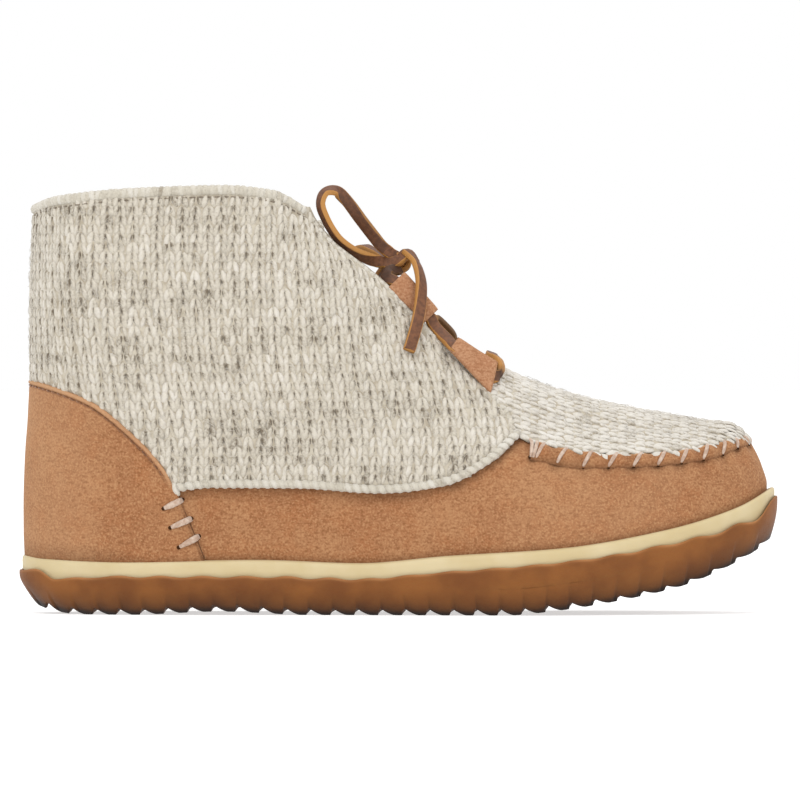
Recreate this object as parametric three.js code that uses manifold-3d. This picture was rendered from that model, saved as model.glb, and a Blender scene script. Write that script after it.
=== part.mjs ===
// A slipper bootie for the right foot, in millimetres.
// +X runs from heel to toe, -Y is the outer side of the foot and +Z is up.
// The origin is on the floor, in the middle of the sole's length and width.
// The upper follows rings of a shoe last, and every layer on it is cut between two offsets of that form.
import * as THREE from "three";
import { mergeVertices } from "three/addons/utils/BufferGeometryUtils.js";
import Module from "manifold-3d";

const wasm = await Module();
wasm.setup();

// Layers of the upper
const GAP = 0.3; // clearance between pieces that meet
const WALL = 2.2; // suede or knit with its lining
const LAYER = 1.7; // knit or suede laid over the wall
const LIP = 1.8; // raised lip of the moccasin seam
const COLLAR_BAND_HEIGHT = 3;
const INSOLE_THICKNESS = 5;
const TONGUE_THICKNESS = 2;
const TONGUE_HALF_WIDTH = 17;
const SLIT_HALF_WIDTH = 8; // throat opening of the wall, under the lower lace loops
const SLIT_BOTTOM_X = 27;
const SLIT_BOTTOM_Z = 82.5; // height of the knit's throat edge there
const SLIT_FLOOR = 60; // the slit is cut from this height up
const THROAT_FROM_X = 13; // above this place the wall is cut along the knit's throat edge

// Sole
const MIDSOLE_OUTSET = 2.3; // how far the midsole's edge stands out from the upper
const OUTSOLE_OUTSET = 3.4;
const OUTSOLE_FLOOR = 9; // rubber under the midsole
const RIM_STEP_PITCH = 14.6; // steps of the wavy rim
const RIM_STEP_AT = 76;
const RIM_STEP_DEPTH = 2.9;
const RIM_FROM_X = 47; // behind this place the steps are too low to draw
const RIM_STEP_COUNT = 6;
const LUG_PITCH = 8.25;
const FIRST_GROOVE_X = -121.5;
const GROOVE_COUNT = 30;
const GROOVE_WIDTH = 2.4;
const NOTCH_TOP_WIDTH = 1;
const GROOVE_DEPTH = 3;
const RIB_TOP = 8.5; // the lugs' ribs fade out at this height of the side
const RIB_DEPTH = 1.2;

// Lace
const LACE_WIDTH = 4.2;
const LACE_THICKNESS = 1.5;
const LACE_BEVEL = 0.4;
const LOOP_LENGTH = 17.5;
const LOOP_WALL = 1.2;
const LOOP_CLEARANCE = 0.35;
const LOOP_MARGIN = LOOP_CLEARANCE + LOOP_WALL;
const LOOP_ROOM_LENGTH = 29; // free length around a lace loop, with the lace's way out of it
const LACE_HALF_STEPS = 24;
const INNER_SLACK = 2.2; // how far the inner strand stands up between its loops
const KNOT_RADII = [4.4, 4.6, 3.6];
const KNOT_PLACE = [0, 0, 121.9];
const LOOP_ROLL = THREE.MathUtils.degToRad(35); // lean of the loops over the tongue

// How finely the forms are divided
const RING_POINTS = 30;
const RING_STEPS = 13;
const SOLE_POINTS = 36;
const CURVE_STEPS = 9;
const RIM_STEP_PARTS = 4;

const REACH = 160; // half length of every cutter
const HIGH = 220; // above everything

const lerp = (a, b, t) => a + (b - a) * t;
const range = (count) => Array.from({ length: count }, (none, i) => i);

// Monotone cubic curve through a short table
function smoothTable(xs, ys) {
  const last = xs.length - 1;
  const rise = xs.slice(1).map((x, i) => (ys[i + 1] - ys[i]) / (x - xs[i]));
  const slope = xs.map((x, i) => {
    if (i === 0 || i === last) return rise[Math.min(i, last - 1)];
    const [a, b] = [rise[i - 1], rise[i]];
    return a * b <= 0 ? 0 : (2 * a * b) / (a + b);
  });
  return (x) => {
    let i = 0;
    while (i < last - 1 && x > xs[i + 1]) i += 1;
    const width = xs[i + 1] - xs[i];
    const t = Math.min(Math.max((x - xs[i]) / width, 0), 1);
    const s = 1 - t;
    return s * s * (1 + 2 * t) * ys[i] + t * t * (3 - 2 * t) * ys[i + 1]
      + width * t * s * (s * slope[i] - t * slope[i + 1]);
  };
}

// Side-view line through [x, z] points, as a height for each x
function lineThrough(points) {
  const places = points.map((p) => p[0]);
  return Object.assign(smoothTable(places, points.map((p) => p[1])), { places });
}

// Rows of numbers become one smooth function for each named column
function columns(names, rows) {
  const index = rows.map((row, i) => i);
  const column = (c) => smoothTable(index, rows.map((row) => row[c]));
  return Object.fromEntries(names.map((name, c) => [name, column(c)]));
}

// The last: each row is one ring around the foot, from below the sole line to above the collar.
// back and front are its ends in the side view; heel, waist, ball and toe are its half widths;
// blunt squares its front end; follow is how much of the sole line's curve it keeps.
const RING = columns(
  ["backX", "backZ", "frontX", "frontZ", "heel", "waist", "ball", "toe", "blunt", "follow"],
  [
    [-127.6, 12.0, 127.6, 35.0, 30.0, 33.0, 42.5, 32.0, 2.3, 1.0],
    [-128.8, 20.7, 128.6, 43.7, 31.0, 34.0, 43.5, 33.0, 2.3, 1.0],
    [-129.0, 38.0, 126.4, 52.0, 32.0, 35.0, 43.0, 32.0, 2.3, 0.7],
    [-128.4, 56.5, 120.6, 61.2, 33.0, 35.0, 38.5, 26.5, 2.2, 0.4],
    [-128.0, 62.0, 113.0, 64.6, 33.3, 35.0, 34.5, 19.5, 2.1, 0.3],
    [-127.6, 67.0, 95.0, 67.9, 33.5, 35.0, 33.0, 18.0, 2.0, 0.2],
    [-127.3, 73.0, 70.0, 72.6, 33.6, 35.0, 32.5, 19.5, 2.0, 0.1],
    [-127.0, 80.0, 45.0, 80.2, 33.8, 35.5, 32.5, 19.5, 2.0, 0.0],
    [-127.0, 87.0, 28.0, 88.8, 34.0, 36.0, 33.0, 19.5, 2.0, 0.0],
    [-127.0, 97.0, 12.0, 101.5, 34.0, 36.5, 33.5, 20.5, 2.0, 0.0],
    [-127.0, 111.0, -5.5, 118.0, 33.5, 37.0, 34.5, 22.0, 2.0, 0.0],
    [-126.4, 128.0, -22.0, 133.0, 33.0, 37.5, 35.5, 23.5, 2.0, 0.0],
    [-125.4, 156.0, -33.0, 156.0, 32.5, 38.0, 36.0, 24.5, 2.0, 0.0],
  ],
);
const TOP_LEVEL = 12;
const SOLE_LEVEL = 1;
const WIDTH_AT = { heel: 0.12, waist: 0.4, ball: 0.68, toe: 0.9 }; // share of the ring's length
const BACK_BLUNT = 2.2;

// Swing of the last's centre line: out at the waist, in at the toe
const centreLine = lineThrough([[-130, 0.7], [-80, 0.7], [-25, -1.8], [45, -0.3], [100, 5.2], [132, 8.7]]);

// Side-view lines of the sole
const soleLine = lineThrough([
  [-132, 20.9], [-124, 19.5], [-96, 18.5], [-49, 19.2], [-14, 18.1],
  [17, 20.7], [56, 23.3], [92, 29.4], [117, 36.9], [132, 45],
]);
const floorLine = lineThrough([
  [-132, 7], [-127, 3.6], [-119, 0.9], [-110, 0], [-94, 0], [-62, 1.2], [-30, 0], [36, 0],
  [56, 1.8], [70, 3.9], [84, 6.6], [98, 10], [112, 15.6], [126, 23.2], [132, 28],
]);
const rimBase = lineThrough([
  [-132, 16.4], [-117, 12.6], [-97, 13.4], [-49, 13.4], [-14, 12.6], [12, 14.8], [43, 17.2],
  [62, 19.2], [76, 21.2], [90, 23.9], [105, 27.1], [120, 31.7], [134, 41],
]);
const rimPhase = (x) => (2 * Math.PI * (x - RIM_STEP_AT)) / RIM_STEP_PITCH;
const rimLine = (x) => rimBase(x - RIM_STEP_DEPTH * Math.sin(rimPhase(x)));
rimLine.places = [
  ...rimBase.places.filter((x) => x < RIM_FROM_X),
  ...range(RIM_STEP_COUNT * RIM_STEP_PARTS + 1)
    .map((i) => RIM_FROM_X + (i * RIM_STEP_PITCH) / RIM_STEP_PARTS),
];

function roundEnd(t, frontBlunt) {
  const n = t < 0.5 ? BACK_BLUNT : frontBlunt;
  return (1 - Math.abs(2 * t - 1) ** n) ** (1 / n);
}

function ringHalfWidth(level, t) {
  const blunt = RING.blunt(level);
  const full = (name) => RING[name](level) / roundEnd(WIDTH_AT[name], blunt);
  const table = [[0, full("heel")], ...Object.keys(WIDTH_AT).map((name) => [WIDTH_AT[name], full(name)])];
  return lineThrough([...table, [1, full("toe")]])(t) * roundEnd(t, blunt);
}

const ringX = (level, t) => lerp(RING.backX(level), RING.frontX(level), t);
const ringChord = (level, t) => lerp(RING.backZ(level), RING.frontZ(level), t);

// A point of the last: turn runs from the back along the outer side to the front, then back inside
function lastPoint(level, turn) {
  const t = (1 - Math.cos(turn)) / 2;
  const x = ringX(level, t);
  const sag = soleLine(ringX(SOLE_LEVEL, t)) - ringChord(SOLE_LEVEL, t);
  const side = -Math.sign(Math.sin(turn));
  const y = centreLine(x) + side * ringHalfWidth(level, t);
  return new THREE.Vector3(x, y, ringChord(level, t) + RING.follow(level) * sag);
}

function lastNormal(level, turn) {
  const step = 0.02;
  const [above, below] = [Math.min(level + step, TOP_LEVEL), Math.max(level - step, 0)];
  const up = lastPoint(above, turn).sub(lastPoint(below, turn));
  const around = lastPoint(level, turn + step).sub(lastPoint(level, turn - step));
  return around.cross(up).normalize();
}

// Conversions between meshes and solids
function solidOf(positions, triangles) {
  return new wasm.Manifold(new wasm.Mesh({
    numProp: 3,
    vertProperties: new Float32Array(positions),
    triVerts: new Uint32Array(triangles),
  }));
}

function solidOfGeometry(geometry) {
  const bare = geometry.clone();
  bare.deleteAttribute("normal");
  bare.deleteAttribute("uv");
  const merged = mergeVertices(bare, 1e-4);
  return solidOf(merged.attributes.position.array, merged.index.array);
}

function geometryOf(solid) {
  const mesh = solid.getMesh();
  return new THREE.BufferGeometry()
    .setAttribute("position", new THREE.BufferAttribute(mesh.vertProperties, 3))
    .setIndex(new THREE.BufferAttribute(mesh.triVerts, 1));
}

// A stack of rings with the same number of points, closed into one solid
function solidOfRings(rings) {
  const count = rings[0].length;
  const positions = rings.flat().flatMap((p) => p.toArray());
  const triangles = [];
  for (let r = 0; r + 1 < rings.length; r += 1) {
    for (let i = 0; i < count; i += 1) {
      const next = (i + 1) % count;
      const [a, b, c, d] = [r * count + i, r * count + next, (r + 1) * count + next, (r + 1) * count + i];
      triangles.push(a, b, c, a, c, d);
    }
  }
  const close = (ring, start, isBottom) => {
    const middle = ring.reduce((sum, p) => sum.add(p), new THREE.Vector3()).divideScalar(count);
    const heights = ring.map((p) => p.z);
    middle.z = isBottom ? Math.min(...heights) : Math.max(...heights);
    const centre = positions.length / 3;
    positions.push(...middle.toArray());
    for (let i = 0; i < count; i += 1) {
      const [a, b] = [start + i, start + ((i + 1) % count)];
      triangles.push(centre, isBottom ? b : a, isBottom ? a : b);
    }
  };
  close(rings[0], 0, true);
  close(rings[rings.length - 1], (rings.length - 1) * count, false);
  return solidOf(positions, triangles);
}

const turnsAround = (count) => range(count).map((i) => (2 * Math.PI * i) / count);

// The last grown outwards by an offset
function lastForm(offset) {
  return solidOfRings(range(RING_STEPS + 1).map((i) => {
    const level = (TOP_LEVEL * i) / RING_STEPS;
    return turnsAround(RING_POINTS).map((turn) =>
      lastPoint(level, turn).addScaledVector(lastNormal(level, turn), offset));
  }));
}

// The sole's outline, stacked along a side-view line: each row is [height over the line, outset]
function soleForm(line, rows) {
  const step = 0.01;
  const outline = turnsAround(SOLE_POINTS).map((turn) => {
    const along = lastPoint(SOLE_LEVEL, turn + step).sub(lastPoint(SOLE_LEVEL, turn - step));
    const outward = new THREE.Vector3(along.y, -along.x, 0).normalize();
    return { place: lastPoint(SOLE_LEVEL, turn), outward };
  });
  return solidOfRings(rows.map(([height, outset]) => outline.map(({ place, outward }) => {
    const point = place.clone().addScaledVector(outward, outset);
    point.z = line(point.x) + height;
    return point;
  })));
}

// Side-view outlines, each a list of [x, z] points, cut right through the shoe's width
function sidePrism(...outlines) {
  const shapes = outlines.map((outline) => new THREE.Shape(outline.map(([x, z]) => new THREE.Vector2(x, z))));
  const block = new THREE.ExtrudeGeometry(shapes, { depth: 2 * REACH, bevelEnabled: false });
  return solidOfGeometry(block.rotateX(Math.PI / 2).translate(0, REACH, 0));
}

// A few side-view points joined by a smooth curve
function sideCurve(points) {
  const curve = new THREE.SplineCurve(points.map(([x, z]) => new THREE.Vector2(x, z)));
  return curve.getPoints(CURVE_STEPS).map((p) => p.toArray());
}

// A side-view line drawn from heel to toe
const drawn = (line, lift) => [-REACH, ...line.places, REACH].map((x) => [x, line(x) + lift]);

const moved = (points, dx, dz) => points.map(([x, z]) => [x + dx, z + dz]);

// The part of the shoe above or below a line that runs from heel to toe
const aboveLine = (points) => sidePrism([...points, [REACH, HIGH], [-REACH, HIGH]]);
const belowLine = (points) => sidePrism([...points, [REACH, -HIGH], [-REACH, -HIGH]]);

// Side-view lines of the upper's pieces
const COLLAR_TOP = [
  ...sideCurve([
    [-REACH, 138], [-130, 141], [-118, 144.9], [-90, 147.7], [-60, 148.6], [-44, 146.8], [-33, 141],
  ]),
  [REACH, 138],
];
const THROAT_EDGE = sideCurve([
  [41.1, 61.3], [39.5, 67], [30.3, 78.7], [16, 92.3], [1.7, 106.6], [-10.4, 118.1], [-23.7, 129.2],
  [-31, 139], [-35, 152],
]);
const HEM = sideCurve([
  [-77, 43.1], [-65, 44.4], [-34.5, 44.2], [-6.6, 42.5], [14.3, 44.6], [33.4, 54], [41.1, 61.3],
]);
const COUNTER_EDGE = sideCurve([
  [-REACH, 88], [-128, 81.9], [-107, 74.9], [-92.3, 63.5], [-81, 50.9], [-77, 43.1],
]);
const COUNTER_FOOT = [[-77, 43.1], [-67, 19.5], [-62, 6]];
const TONGUE_OUTLINE = [[45, 55], [45, 120], [-18, 140], [-50, 134], [8, 55]];
const SEAM_HOLES = sideCurve([[45.3, 54], [64, 50.9], [83, 51.2], [108, 53.8], [119, 57.8], [128, 60]]);
const SEAM_EDGE = sideCurve([
  [44.2, 60.6], [58, 57], [76, 55.4], [93, 56], [109, 58.7], [120, 61], [128, 61.8],
]);

// Places of the lace loops: middle in the side view, distance from the middle plane, slope along the throat
const LOOPS = {
  upper: { x: 5.6, z: 110.2, out: 9.8, slope: 46 },
  lower: { x: 26.2, z: 88.9, out: 18.8, slope: 38 },
};
const SIDES = { outer: -1, inner: 1 };

function loopFrame(name, side) {
  const { x, z, out, slope } = LOOPS[name];
  const angle = THREE.MathUtils.degToRad(slope);
  const along = new THREE.Vector3(Math.cos(angle), 0, -Math.sin(angle));
  const up = new THREE.Vector3(Math.sin(angle), 0, Math.cos(angle));
  const flat = up.clone().multiplyScalar(Math.cos(LOOP_ROLL));
  flat.y = -side * Math.sin(LOOP_ROLL);
  const facing = up.clone().multiplyScalar(Math.sin(LOOP_ROLL));
  facing.y = side * Math.cos(LOOP_ROLL);
  const centre = new THREE.Vector3(x, centreLine(x) + side * out, z);
  const at = (share) => centre.clone().addScaledVector(along, (share * LOOP_LENGTH) / 2);
  return { along, flat, facing, at };
}

const wallForm = lastForm(0);
const insideForm = lastForm(-WALL);
const liningForm = lastForm(-WALL - GAP);
const outsideForm = lastForm(GAP);
const layer = lastForm(GAP + LAYER).subtract(outsideForm);
const aboveSole = aboveLine(drawn(soleLine, GAP));
const throat = sidePrism([...THROAT_EDGE, [HIGH, HIGH], [HIGH, THROAT_EDGE[0][1]]]);

function buildUpper() {
  const slit = new THREE.BoxGeometry(REACH / 2, 2 * SLIT_HALF_WIDTH, REACH)
    .translate(SLIT_BOTTOM_X - REACH / 4, 0, SLIT_FLOOR + REACH / 2);
  const behind = new THREE.BoxGeometry(REACH, 2 * REACH, 2 * REACH)
    .translate(THROAT_FROM_X - REACH / 2, 0, 0);
  const throatCut = throat.intersect(solidOfGeometry(behind));
  return wallForm.subtract(insideForm)
    .intersect(aboveSole)
    .intersect(belowLine(COLLAR_TOP))
    .subtract(solidOfGeometry(slit))
    .subtract(throatCut);
}

function buildQuarter() {
  const back = moved(COUNTER_EDGE, GAP, GAP);
  const outline = [...back, ...HEM.slice(1), [REACH, HEM[CURVE_STEPS][1]], [REACH, HIGH], [-REACH, HIGH]];
  return layer.intersect(sidePrism(outline))
    .intersect(belowLine(moved(COLLAR_TOP, 0, -COLLAR_BAND_HEIGHT - GAP)))
    .subtract(throat);
}

function buildCollarBand() {
  return layer.intersect(belowLine(COLLAR_TOP))
    .intersect(aboveLine(moved(COLLAR_TOP, 0, -COLLAR_BAND_HEIGHT)))
    .subtract(throat);
}

function buildHeelCounter() {
  return layer.intersect(sidePrism([...COUNTER_EDGE, ...COUNTER_FOOT.slice(1), [-REACH, 0]]))
    .intersect(aboveSole);
}

function buildApron() {
  const front = moved(THROAT_EDGE.filter(([x, z]) => x > SLIT_BOTTOM_X), GAP, 0);
  const outline = [
    ...moved(SEAM_EDGE, 0, GAP), [REACH, SEAM_EDGE[CURVE_STEPS][1]], [REACH, HIGH],
    [SLIT_BOTTOM_X, HIGH], [SLIT_BOTTOM_X, SLIT_BOTTOM_Z], ...front.reverse(),
  ];
  return layer.intersect(sidePrism(outline))
    .subtract(loopRoom("lower", SIDES.outer))
    .subtract(loopRoom("lower", SIDES.inner));
}

function buildMocSeam() {
  const toe = [[REACH, SEAM_EDGE[CURVE_STEPS][1]], [REACH, SEAM_HOLES[CURVE_STEPS][1]]];
  const outline = [...SEAM_EDGE, ...toe, ...SEAM_HOLES.slice().reverse()];
  return lastForm(GAP + LIP).subtract(outsideForm).intersect(sidePrism(outline));
}

function buildTongue() {
  const middle = new THREE.BoxGeometry(2 * REACH, 2 * TONGUE_HALF_WIDTH, 2 * REACH);
  return liningForm.subtract(lastForm(-WALL - GAP - TONGUE_THICKNESS))
    .intersect(sidePrism(TONGUE_OUTLINE))
    .intersect(solidOfGeometry(middle));
}

function buildInsole() {
  const top = belowLine(drawn(soleLine, GAP + INSOLE_THICKNESS));
  return liningForm.intersect(aboveSole).intersect(top);
}

// Outsets of the midsole's rounded edge, by height over the sole line
const MIDSOLE_EDGE = [[-30, 0], [-1.3, 0], [0, -1.2], [12, -1.2]];
// Outsets of the outsole's side, by height over the floor
const OUTSOLE_SIDE = [[-40, -7.8], [-4, -7.8], [8, -0.5], [14, 0], [40, 0]];
const RIB_BOTTOM = [[-40, -7.8], [-4, -7.8], [8, -0.5], [40, -0.5]];
const grown = (rows, outset) => rows.map(([height, inset]) => [height, outset + inset]);

function buildMidsole() {
  return soleForm(soleLine, grown(MIDSOLE_EDGE, MIDSOLE_OUTSET))
    .intersect(belowLine(drawn(soleLine, 0)))
    .intersect(aboveLine(drawn(floorLine, OUTSOLE_FLOOR + GAP)));
}

// One groove across the tread, or the notch above it that leaves a rib on the sole's side
function grooveOutline(index, from, to, topWidth) {
  const x = FIRST_GROOVE_X + index * LUG_PITCH;
  const z = floorLine(x);
  const [foot, top] = [GROOVE_WIDTH / 2, topWidth / 2];
  return [[x - foot, z + from], [x + foot, z + from], [x + top, z + to], [x - top, z + to]];
}

function buildOutsole() {
  const side = soleForm(floorLine, grown(OUTSOLE_SIDE, OUTSOLE_OUTSET));
  const core = soleForm(floorLine, grown(RIB_BOTTOM, OUTSOLE_OUTSET - RIB_DEPTH));
  const cup = soleForm(soleLine, [[-40, MIDSOLE_OUTSET + GAP], [20, MIDSOLE_OUTSET + GAP]])
    .intersect(aboveLine(drawn(floorLine, OUTSOLE_FLOOR)));
  const indices = range(GROOVE_COUNT);
  const cutAll = (from, to, topWidth) => sidePrism(...indices.map((i) => grooveOutline(i, from, to, topWidth)));
  const grooves = cutAll(-GROOVE_DEPTH, GROOVE_DEPTH, GROOVE_WIDTH);
  const notches = cutAll(1, RIB_TOP, NOTCH_TOP_WIDTH);
  return side.intersect(belowLine(drawn(rimLine, 0)))
    .intersect(aboveLine(drawn(floorLine, 0)))
    .subtract(cup)
    .subtract(grooves)
    .subtract(notches.subtract(core));
}

// The lace: a flat strip whose face keeps to a guide direction at each point of its route
class LacePath extends THREE.CatmullRomCurve3 {
  constructor(rows) {
    super(rows.map((row) => new THREE.Vector3(...row[0])), false, "centripetal");
    this.guide = new THREE.CatmullRomCurve3(rows.map((row) => new THREE.Vector3(...row[1])));
  }

  computeFrenetFrames(steps) {
    const places = range(steps + 1).map((i) => i / steps);
    const tangents = places.map((u) => this.getTangentAt(u));
    const binormals = places.map((u, i) => {
      const facing = this.guide.getPoint(this.getUtoTmapping(u));
      return facing.addScaledVector(tangents[i], -facing.dot(tangents[i])).normalize();
    });
    const normals = binormals.map((b, i) => b.clone().cross(tangents[i]));
    return { tangents, normals, binormals };
  }
}

// A flat strip along rows of [place, direction that its face looks]
function freeLace(rows, steps) {
  const [w, t, c] = [LACE_WIDTH / 2, LACE_THICKNESS / 2, LACE_BEVEL];
  const quarter = [[w, t - c], [w - c, t]];
  const half = [...quarter, ...quarter.map(([x, y]) => [-x, y]).reverse()];
  const section = [...half, ...half.map(([x, y]) => [-x, -y])];
  const shape = new THREE.Shape(section.map(([x, y]) => new THREE.Vector2(x, y)));
  return solidOfGeometry(new THREE.ExtrudeGeometry(shape, {
    steps, extrudePath: new LacePath(rows), bevelEnabled: false,
  }));
}

function stadium(length, width) {
  const [reach, radius] = [(length - width) / 2, width / 2];
  const shape = new THREE.Shape();
  shape.absarc(reach, 0, radius, -Math.PI / 2, Math.PI / 2);
  shape.absarc(-reach, 0, radius, Math.PI / 2, (3 * Math.PI) / 2);
  return shape;
}

// The lace's section grown by a margin, drawn out along a lace loop
function alongLoop(name, side, margin, length) {
  const { along, flat, at } = loopFrame(name, side);
  const shape = stadium(LACE_WIDTH + 2 * margin, LACE_THICKNESS + 2 * margin);
  const rod = new THREE.ExtrudeGeometry(shape, { depth: length, bevelEnabled: false, curveSegments: 3 });
  const basis = new THREE.Matrix4().makeBasis(flat, along.clone().cross(flat), along);
  return solidOfGeometry(rod.applyMatrix4(basis.setPosition(at(-length / LOOP_LENGTH))));
}

function buildLaceLoop(name, side) {
  return alongLoop(name, side, LOOP_MARGIN, LOOP_LENGTH)
    .subtract(alongLoop(name, side, LOOP_CLEARANCE, 2 * LOOP_LENGTH));
}

// Space for a lace loop to lie in the layers under it
const loopRoom = (name, side) => alongLoop(name, side, LOOP_MARGIN + GAP, LOOP_ROOM_LENGTH);

// From the knot down one side through both of its loops, then round into the bar across the foot
function laceHalf(side) {
  const through = (name, shares) => {
    const { at, facing } = loopFrame(name, side);
    return shares.map((share) => [at(share).toArray(), facing.toArray()]);
  };
  const slack = side === SIDES.inner ? INNER_SLACK : 0;
  const route = [
    [[-1, side * 5.4, 119.4], [0.2, side * 0.7, 0.8]],
    ...through("upper", [-1.3, -0.95, 0, 0.95, 1.25]),
    [[15.2 + slack / 2, side * 14.3, 98.9 + slack], [0.4, side * 0.8, 0.45]],
    ...through("lower", [-1.25, -0.95, -0.3, 0.3, 0.95, 1.25]),
    [[37.2, side * 17.6, 84.4], [1, side * 0.4, 0.1]],
    [[36.2, side * 14.5, 88.4], [0.8, side * 0.3, 0.6]],
    [[33.8, side * 9, 90.4], [0.35, 0, 0.95]],
    [[33.6, side * -1, 91], [0.35, 0, 0.95]],
  ];
  return freeLace(route, LACE_HALF_STEPS);
}

const buildLaceRuns = () => laceHalf(-1).add(laceHalf(1));

function buildLaceKnot() {
  return solidOfGeometry(new THREE.SphereGeometry(1, 12, 8).scale(...KNOT_RADII).translate(...KNOT_PLACE));
}

// Rows of a free lace's route: place, then the direction that its face looks
const BOW_OUTER = [
  [[-4.9, -2.4, 121.9], [0.1, -1, 0.6]],
  [[-10, -6.5, 123.2], [0.1, -1, 0.4]],
  [[-16.2, -12.5, 126.2], [-0.2, -1, -0.2]],
  [[-21.4, -15.8, 130.6], [-0.5, -0.9, -0.4]],
  [[-25.4, -16.6, 137], [-0.8, -0.7, -0.2]],
  [[-27.2, -16.2, 142.4], [-0.8, -0.6, 0.2]],
  [[-25.9, -15, 146.2], [-0.5, -0.6, 0.6]],
  [[-22.2, -12.8, 147], [0, -0.6, 0.9]],
  [[-18.6, -10.6, 144], [0.5, -0.6, 0.7]],
  [[-13.2, -7, 136.9], [0.6, -0.7, 0.5]],
  [[-9.5, -4.5, 132.1], [0.6, -0.7, 0.4]],
  [[-6.2, -2.8, 128], [0.6, -0.7, 0.4]],
  [[-3.6, -1.8, 125.7], [0.6, -0.7, 0.4]],
];
const BOW_INNER = [
  [[-5.2, 1.8, 122.6], [0, 0.6, 1]],
  [[-8.5, 6.5, 125.4], [0, 0.4, 1]],
  [[-12.2, 14, 127.4], [-0.1, 0, 1]],
  [[-15, 22, 125.6], [-0.3, 0.6, 0.8]],
  [[-16.2, 27, 121.4], [-0.5, 0.8, 0.3]],
  [[-15, 29, 117], [-0.4, 0.9, -0.2]],
  [[-11.6, 27.2, 114.2], [0, 0.6, -0.8]],
  [[-8, 21.6, 115.8], [0.1, -0.2, -0.9]],
  [[-4.9, 14.4, 119.8], [0.2, -0.4, -0.8]],
  [[-2.6, 9, 123], [0.2, -0.2, -1]],
  [[-1.6, 5.6, 123.6], [0.2, -0.2, -1]],
];
const TAIL = [
  [[2.6, 3.6, 125.9], [0.4, 0.3, 0.9]],
  [[5.8, 7.4, 122], [0.9, 0.3, 0.5]],
  [[7.6, 12, 116], [0.8, 0.7, 0.2]],
  [[7.6, 15.8, 110], [0.5, 0.9, 0.1]],
  [[6.9, 19.6, 104], [0.3, 0.9, 0.3]],
  [[5.5, 23.8, 98.2], [0.3, 0.9, 0.3]],
  [[3.5, 28, 91.6], [0.3, 0.9, 0.3]],
];
const mirrored = ([x, y, z]) => [x, -y, z];
const TAIL_OUTER = TAIL.map((row) => row.map(mirrored));

const SUEDE = { color: 0xb47f58, roughness: 0.95 };
const KNIT = { color: 0xcfc5b3, roughness: 0.95 };
const LEATHER = { color: 0x77553c, roughness: 0.55 };

const PIECES = [
  ["outsole", buildOutsole(), { color: 0x87583a, roughness: 0.6 }],
  ["midsole", buildMidsole(), { color: 0xdac297, roughness: 0.6 }],
  ["insole", buildInsole(), { color: 0xd8cfc0, roughness: 0.95 }],
  ["upper", buildUpper(), SUEDE],
  ["apron", buildApron(), KNIT],
  ["moc_seam", buildMocSeam(), SUEDE],
  ["quarter", buildQuarter(), KNIT],
  ["heel_counter", buildHeelCounter(), SUEDE],
  ["collar_band", buildCollarBand(), KNIT],
  ["tongue", buildTongue(), KNIT],
  ...Object.entries(SIDES).flatMap(([sideName, side]) => Object.keys(LOOPS).map((name) =>
    [`lace_loop_${sideName}_${name}`, buildLaceLoop(name, side), SUEDE])),
  ["lace_runs", buildLaceRuns(), LEATHER],
  ["lace_knot", buildLaceKnot(), LEATHER],
  ["lace_bow_outer", freeLace(BOW_OUTER, 16), LEATHER],
  ["lace_bow_inner", freeLace(BOW_INNER, 12), LEATHER],
  ["lace_tail_outer", freeLace(TAIL_OUTER, 8), LEATHER],
  ["lace_tail_inner", freeLace(TAIL, 8), LEATHER],
];

const slipper = new THREE.Group();
for (const [name, solid, finish] of PIECES) {
  const mesh = new THREE.Mesh(geometryOf(solid), new THREE.MeshStandardMaterial({ ...finish, metalness: 0 }));
  mesh.name = name;
  slipper.add(mesh);
}

export default slipper;
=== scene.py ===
import math

import bmesh
import bpy
import numpy as np
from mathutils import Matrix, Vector


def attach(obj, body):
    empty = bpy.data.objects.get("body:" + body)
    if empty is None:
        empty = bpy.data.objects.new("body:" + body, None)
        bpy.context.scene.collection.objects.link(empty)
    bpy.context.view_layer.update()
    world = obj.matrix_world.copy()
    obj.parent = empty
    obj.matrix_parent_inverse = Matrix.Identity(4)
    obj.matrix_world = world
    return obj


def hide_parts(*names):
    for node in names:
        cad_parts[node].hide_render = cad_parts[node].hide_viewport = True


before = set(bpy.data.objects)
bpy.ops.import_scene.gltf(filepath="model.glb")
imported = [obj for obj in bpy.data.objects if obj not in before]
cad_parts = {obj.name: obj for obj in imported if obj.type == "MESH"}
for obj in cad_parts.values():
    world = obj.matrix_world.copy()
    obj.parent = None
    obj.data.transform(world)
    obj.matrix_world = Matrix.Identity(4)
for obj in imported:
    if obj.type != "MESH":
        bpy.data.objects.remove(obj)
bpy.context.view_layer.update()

MM = 0.001

# Layers, as in the part: lifts are distances from the last, outwards
GAP = 0.3
WALL = 2.2
LAYER = 1.7
SUEDE_THICKNESS = 1.2
TUCKED = 0.8
TOP_LEVEL = 12.0
SOLE_LEVEL = 1.0

# Knit gauge
WALE = 4.4
COURSE = 3.2

# Lace
LACE_WIDTH = 4.2
LACE_THICKNESS = 2.0
LACE_BEVEL = 0.4

SIDES = {"outer": -1, "inner": 1}


def lerp(a, b, t):
    return a + (b - a) * t


def smooth(edge0, edge1, x):
    """0 below the first edge, 1 above the second and smooth between them."""
    t = np.clip((x - edge0) / (edge1 - edge0), 0, 1)
    return t * t * (3 - 2 * t)


def bell(x, middle, width):
    """1 in the middle, falling off to both sides."""
    return np.exp(-(((x - middle) / width) ** 2))


def unit(v):
    return v / np.maximum(np.linalg.norm(v, axis=-1, keepdims=True), 1e-9)


def run_along(path):
    """How far along a line each of its points lies."""
    return np.concatenate([[0], np.cumsum(np.linalg.norm(np.diff(path, axis=0), axis=1))])


def sampled(path, run, at):
    """The places on a line at these distances along it."""
    return np.stack([np.interp(at, run, path[:, k]) for k in range(path.shape[1])], -1)


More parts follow.
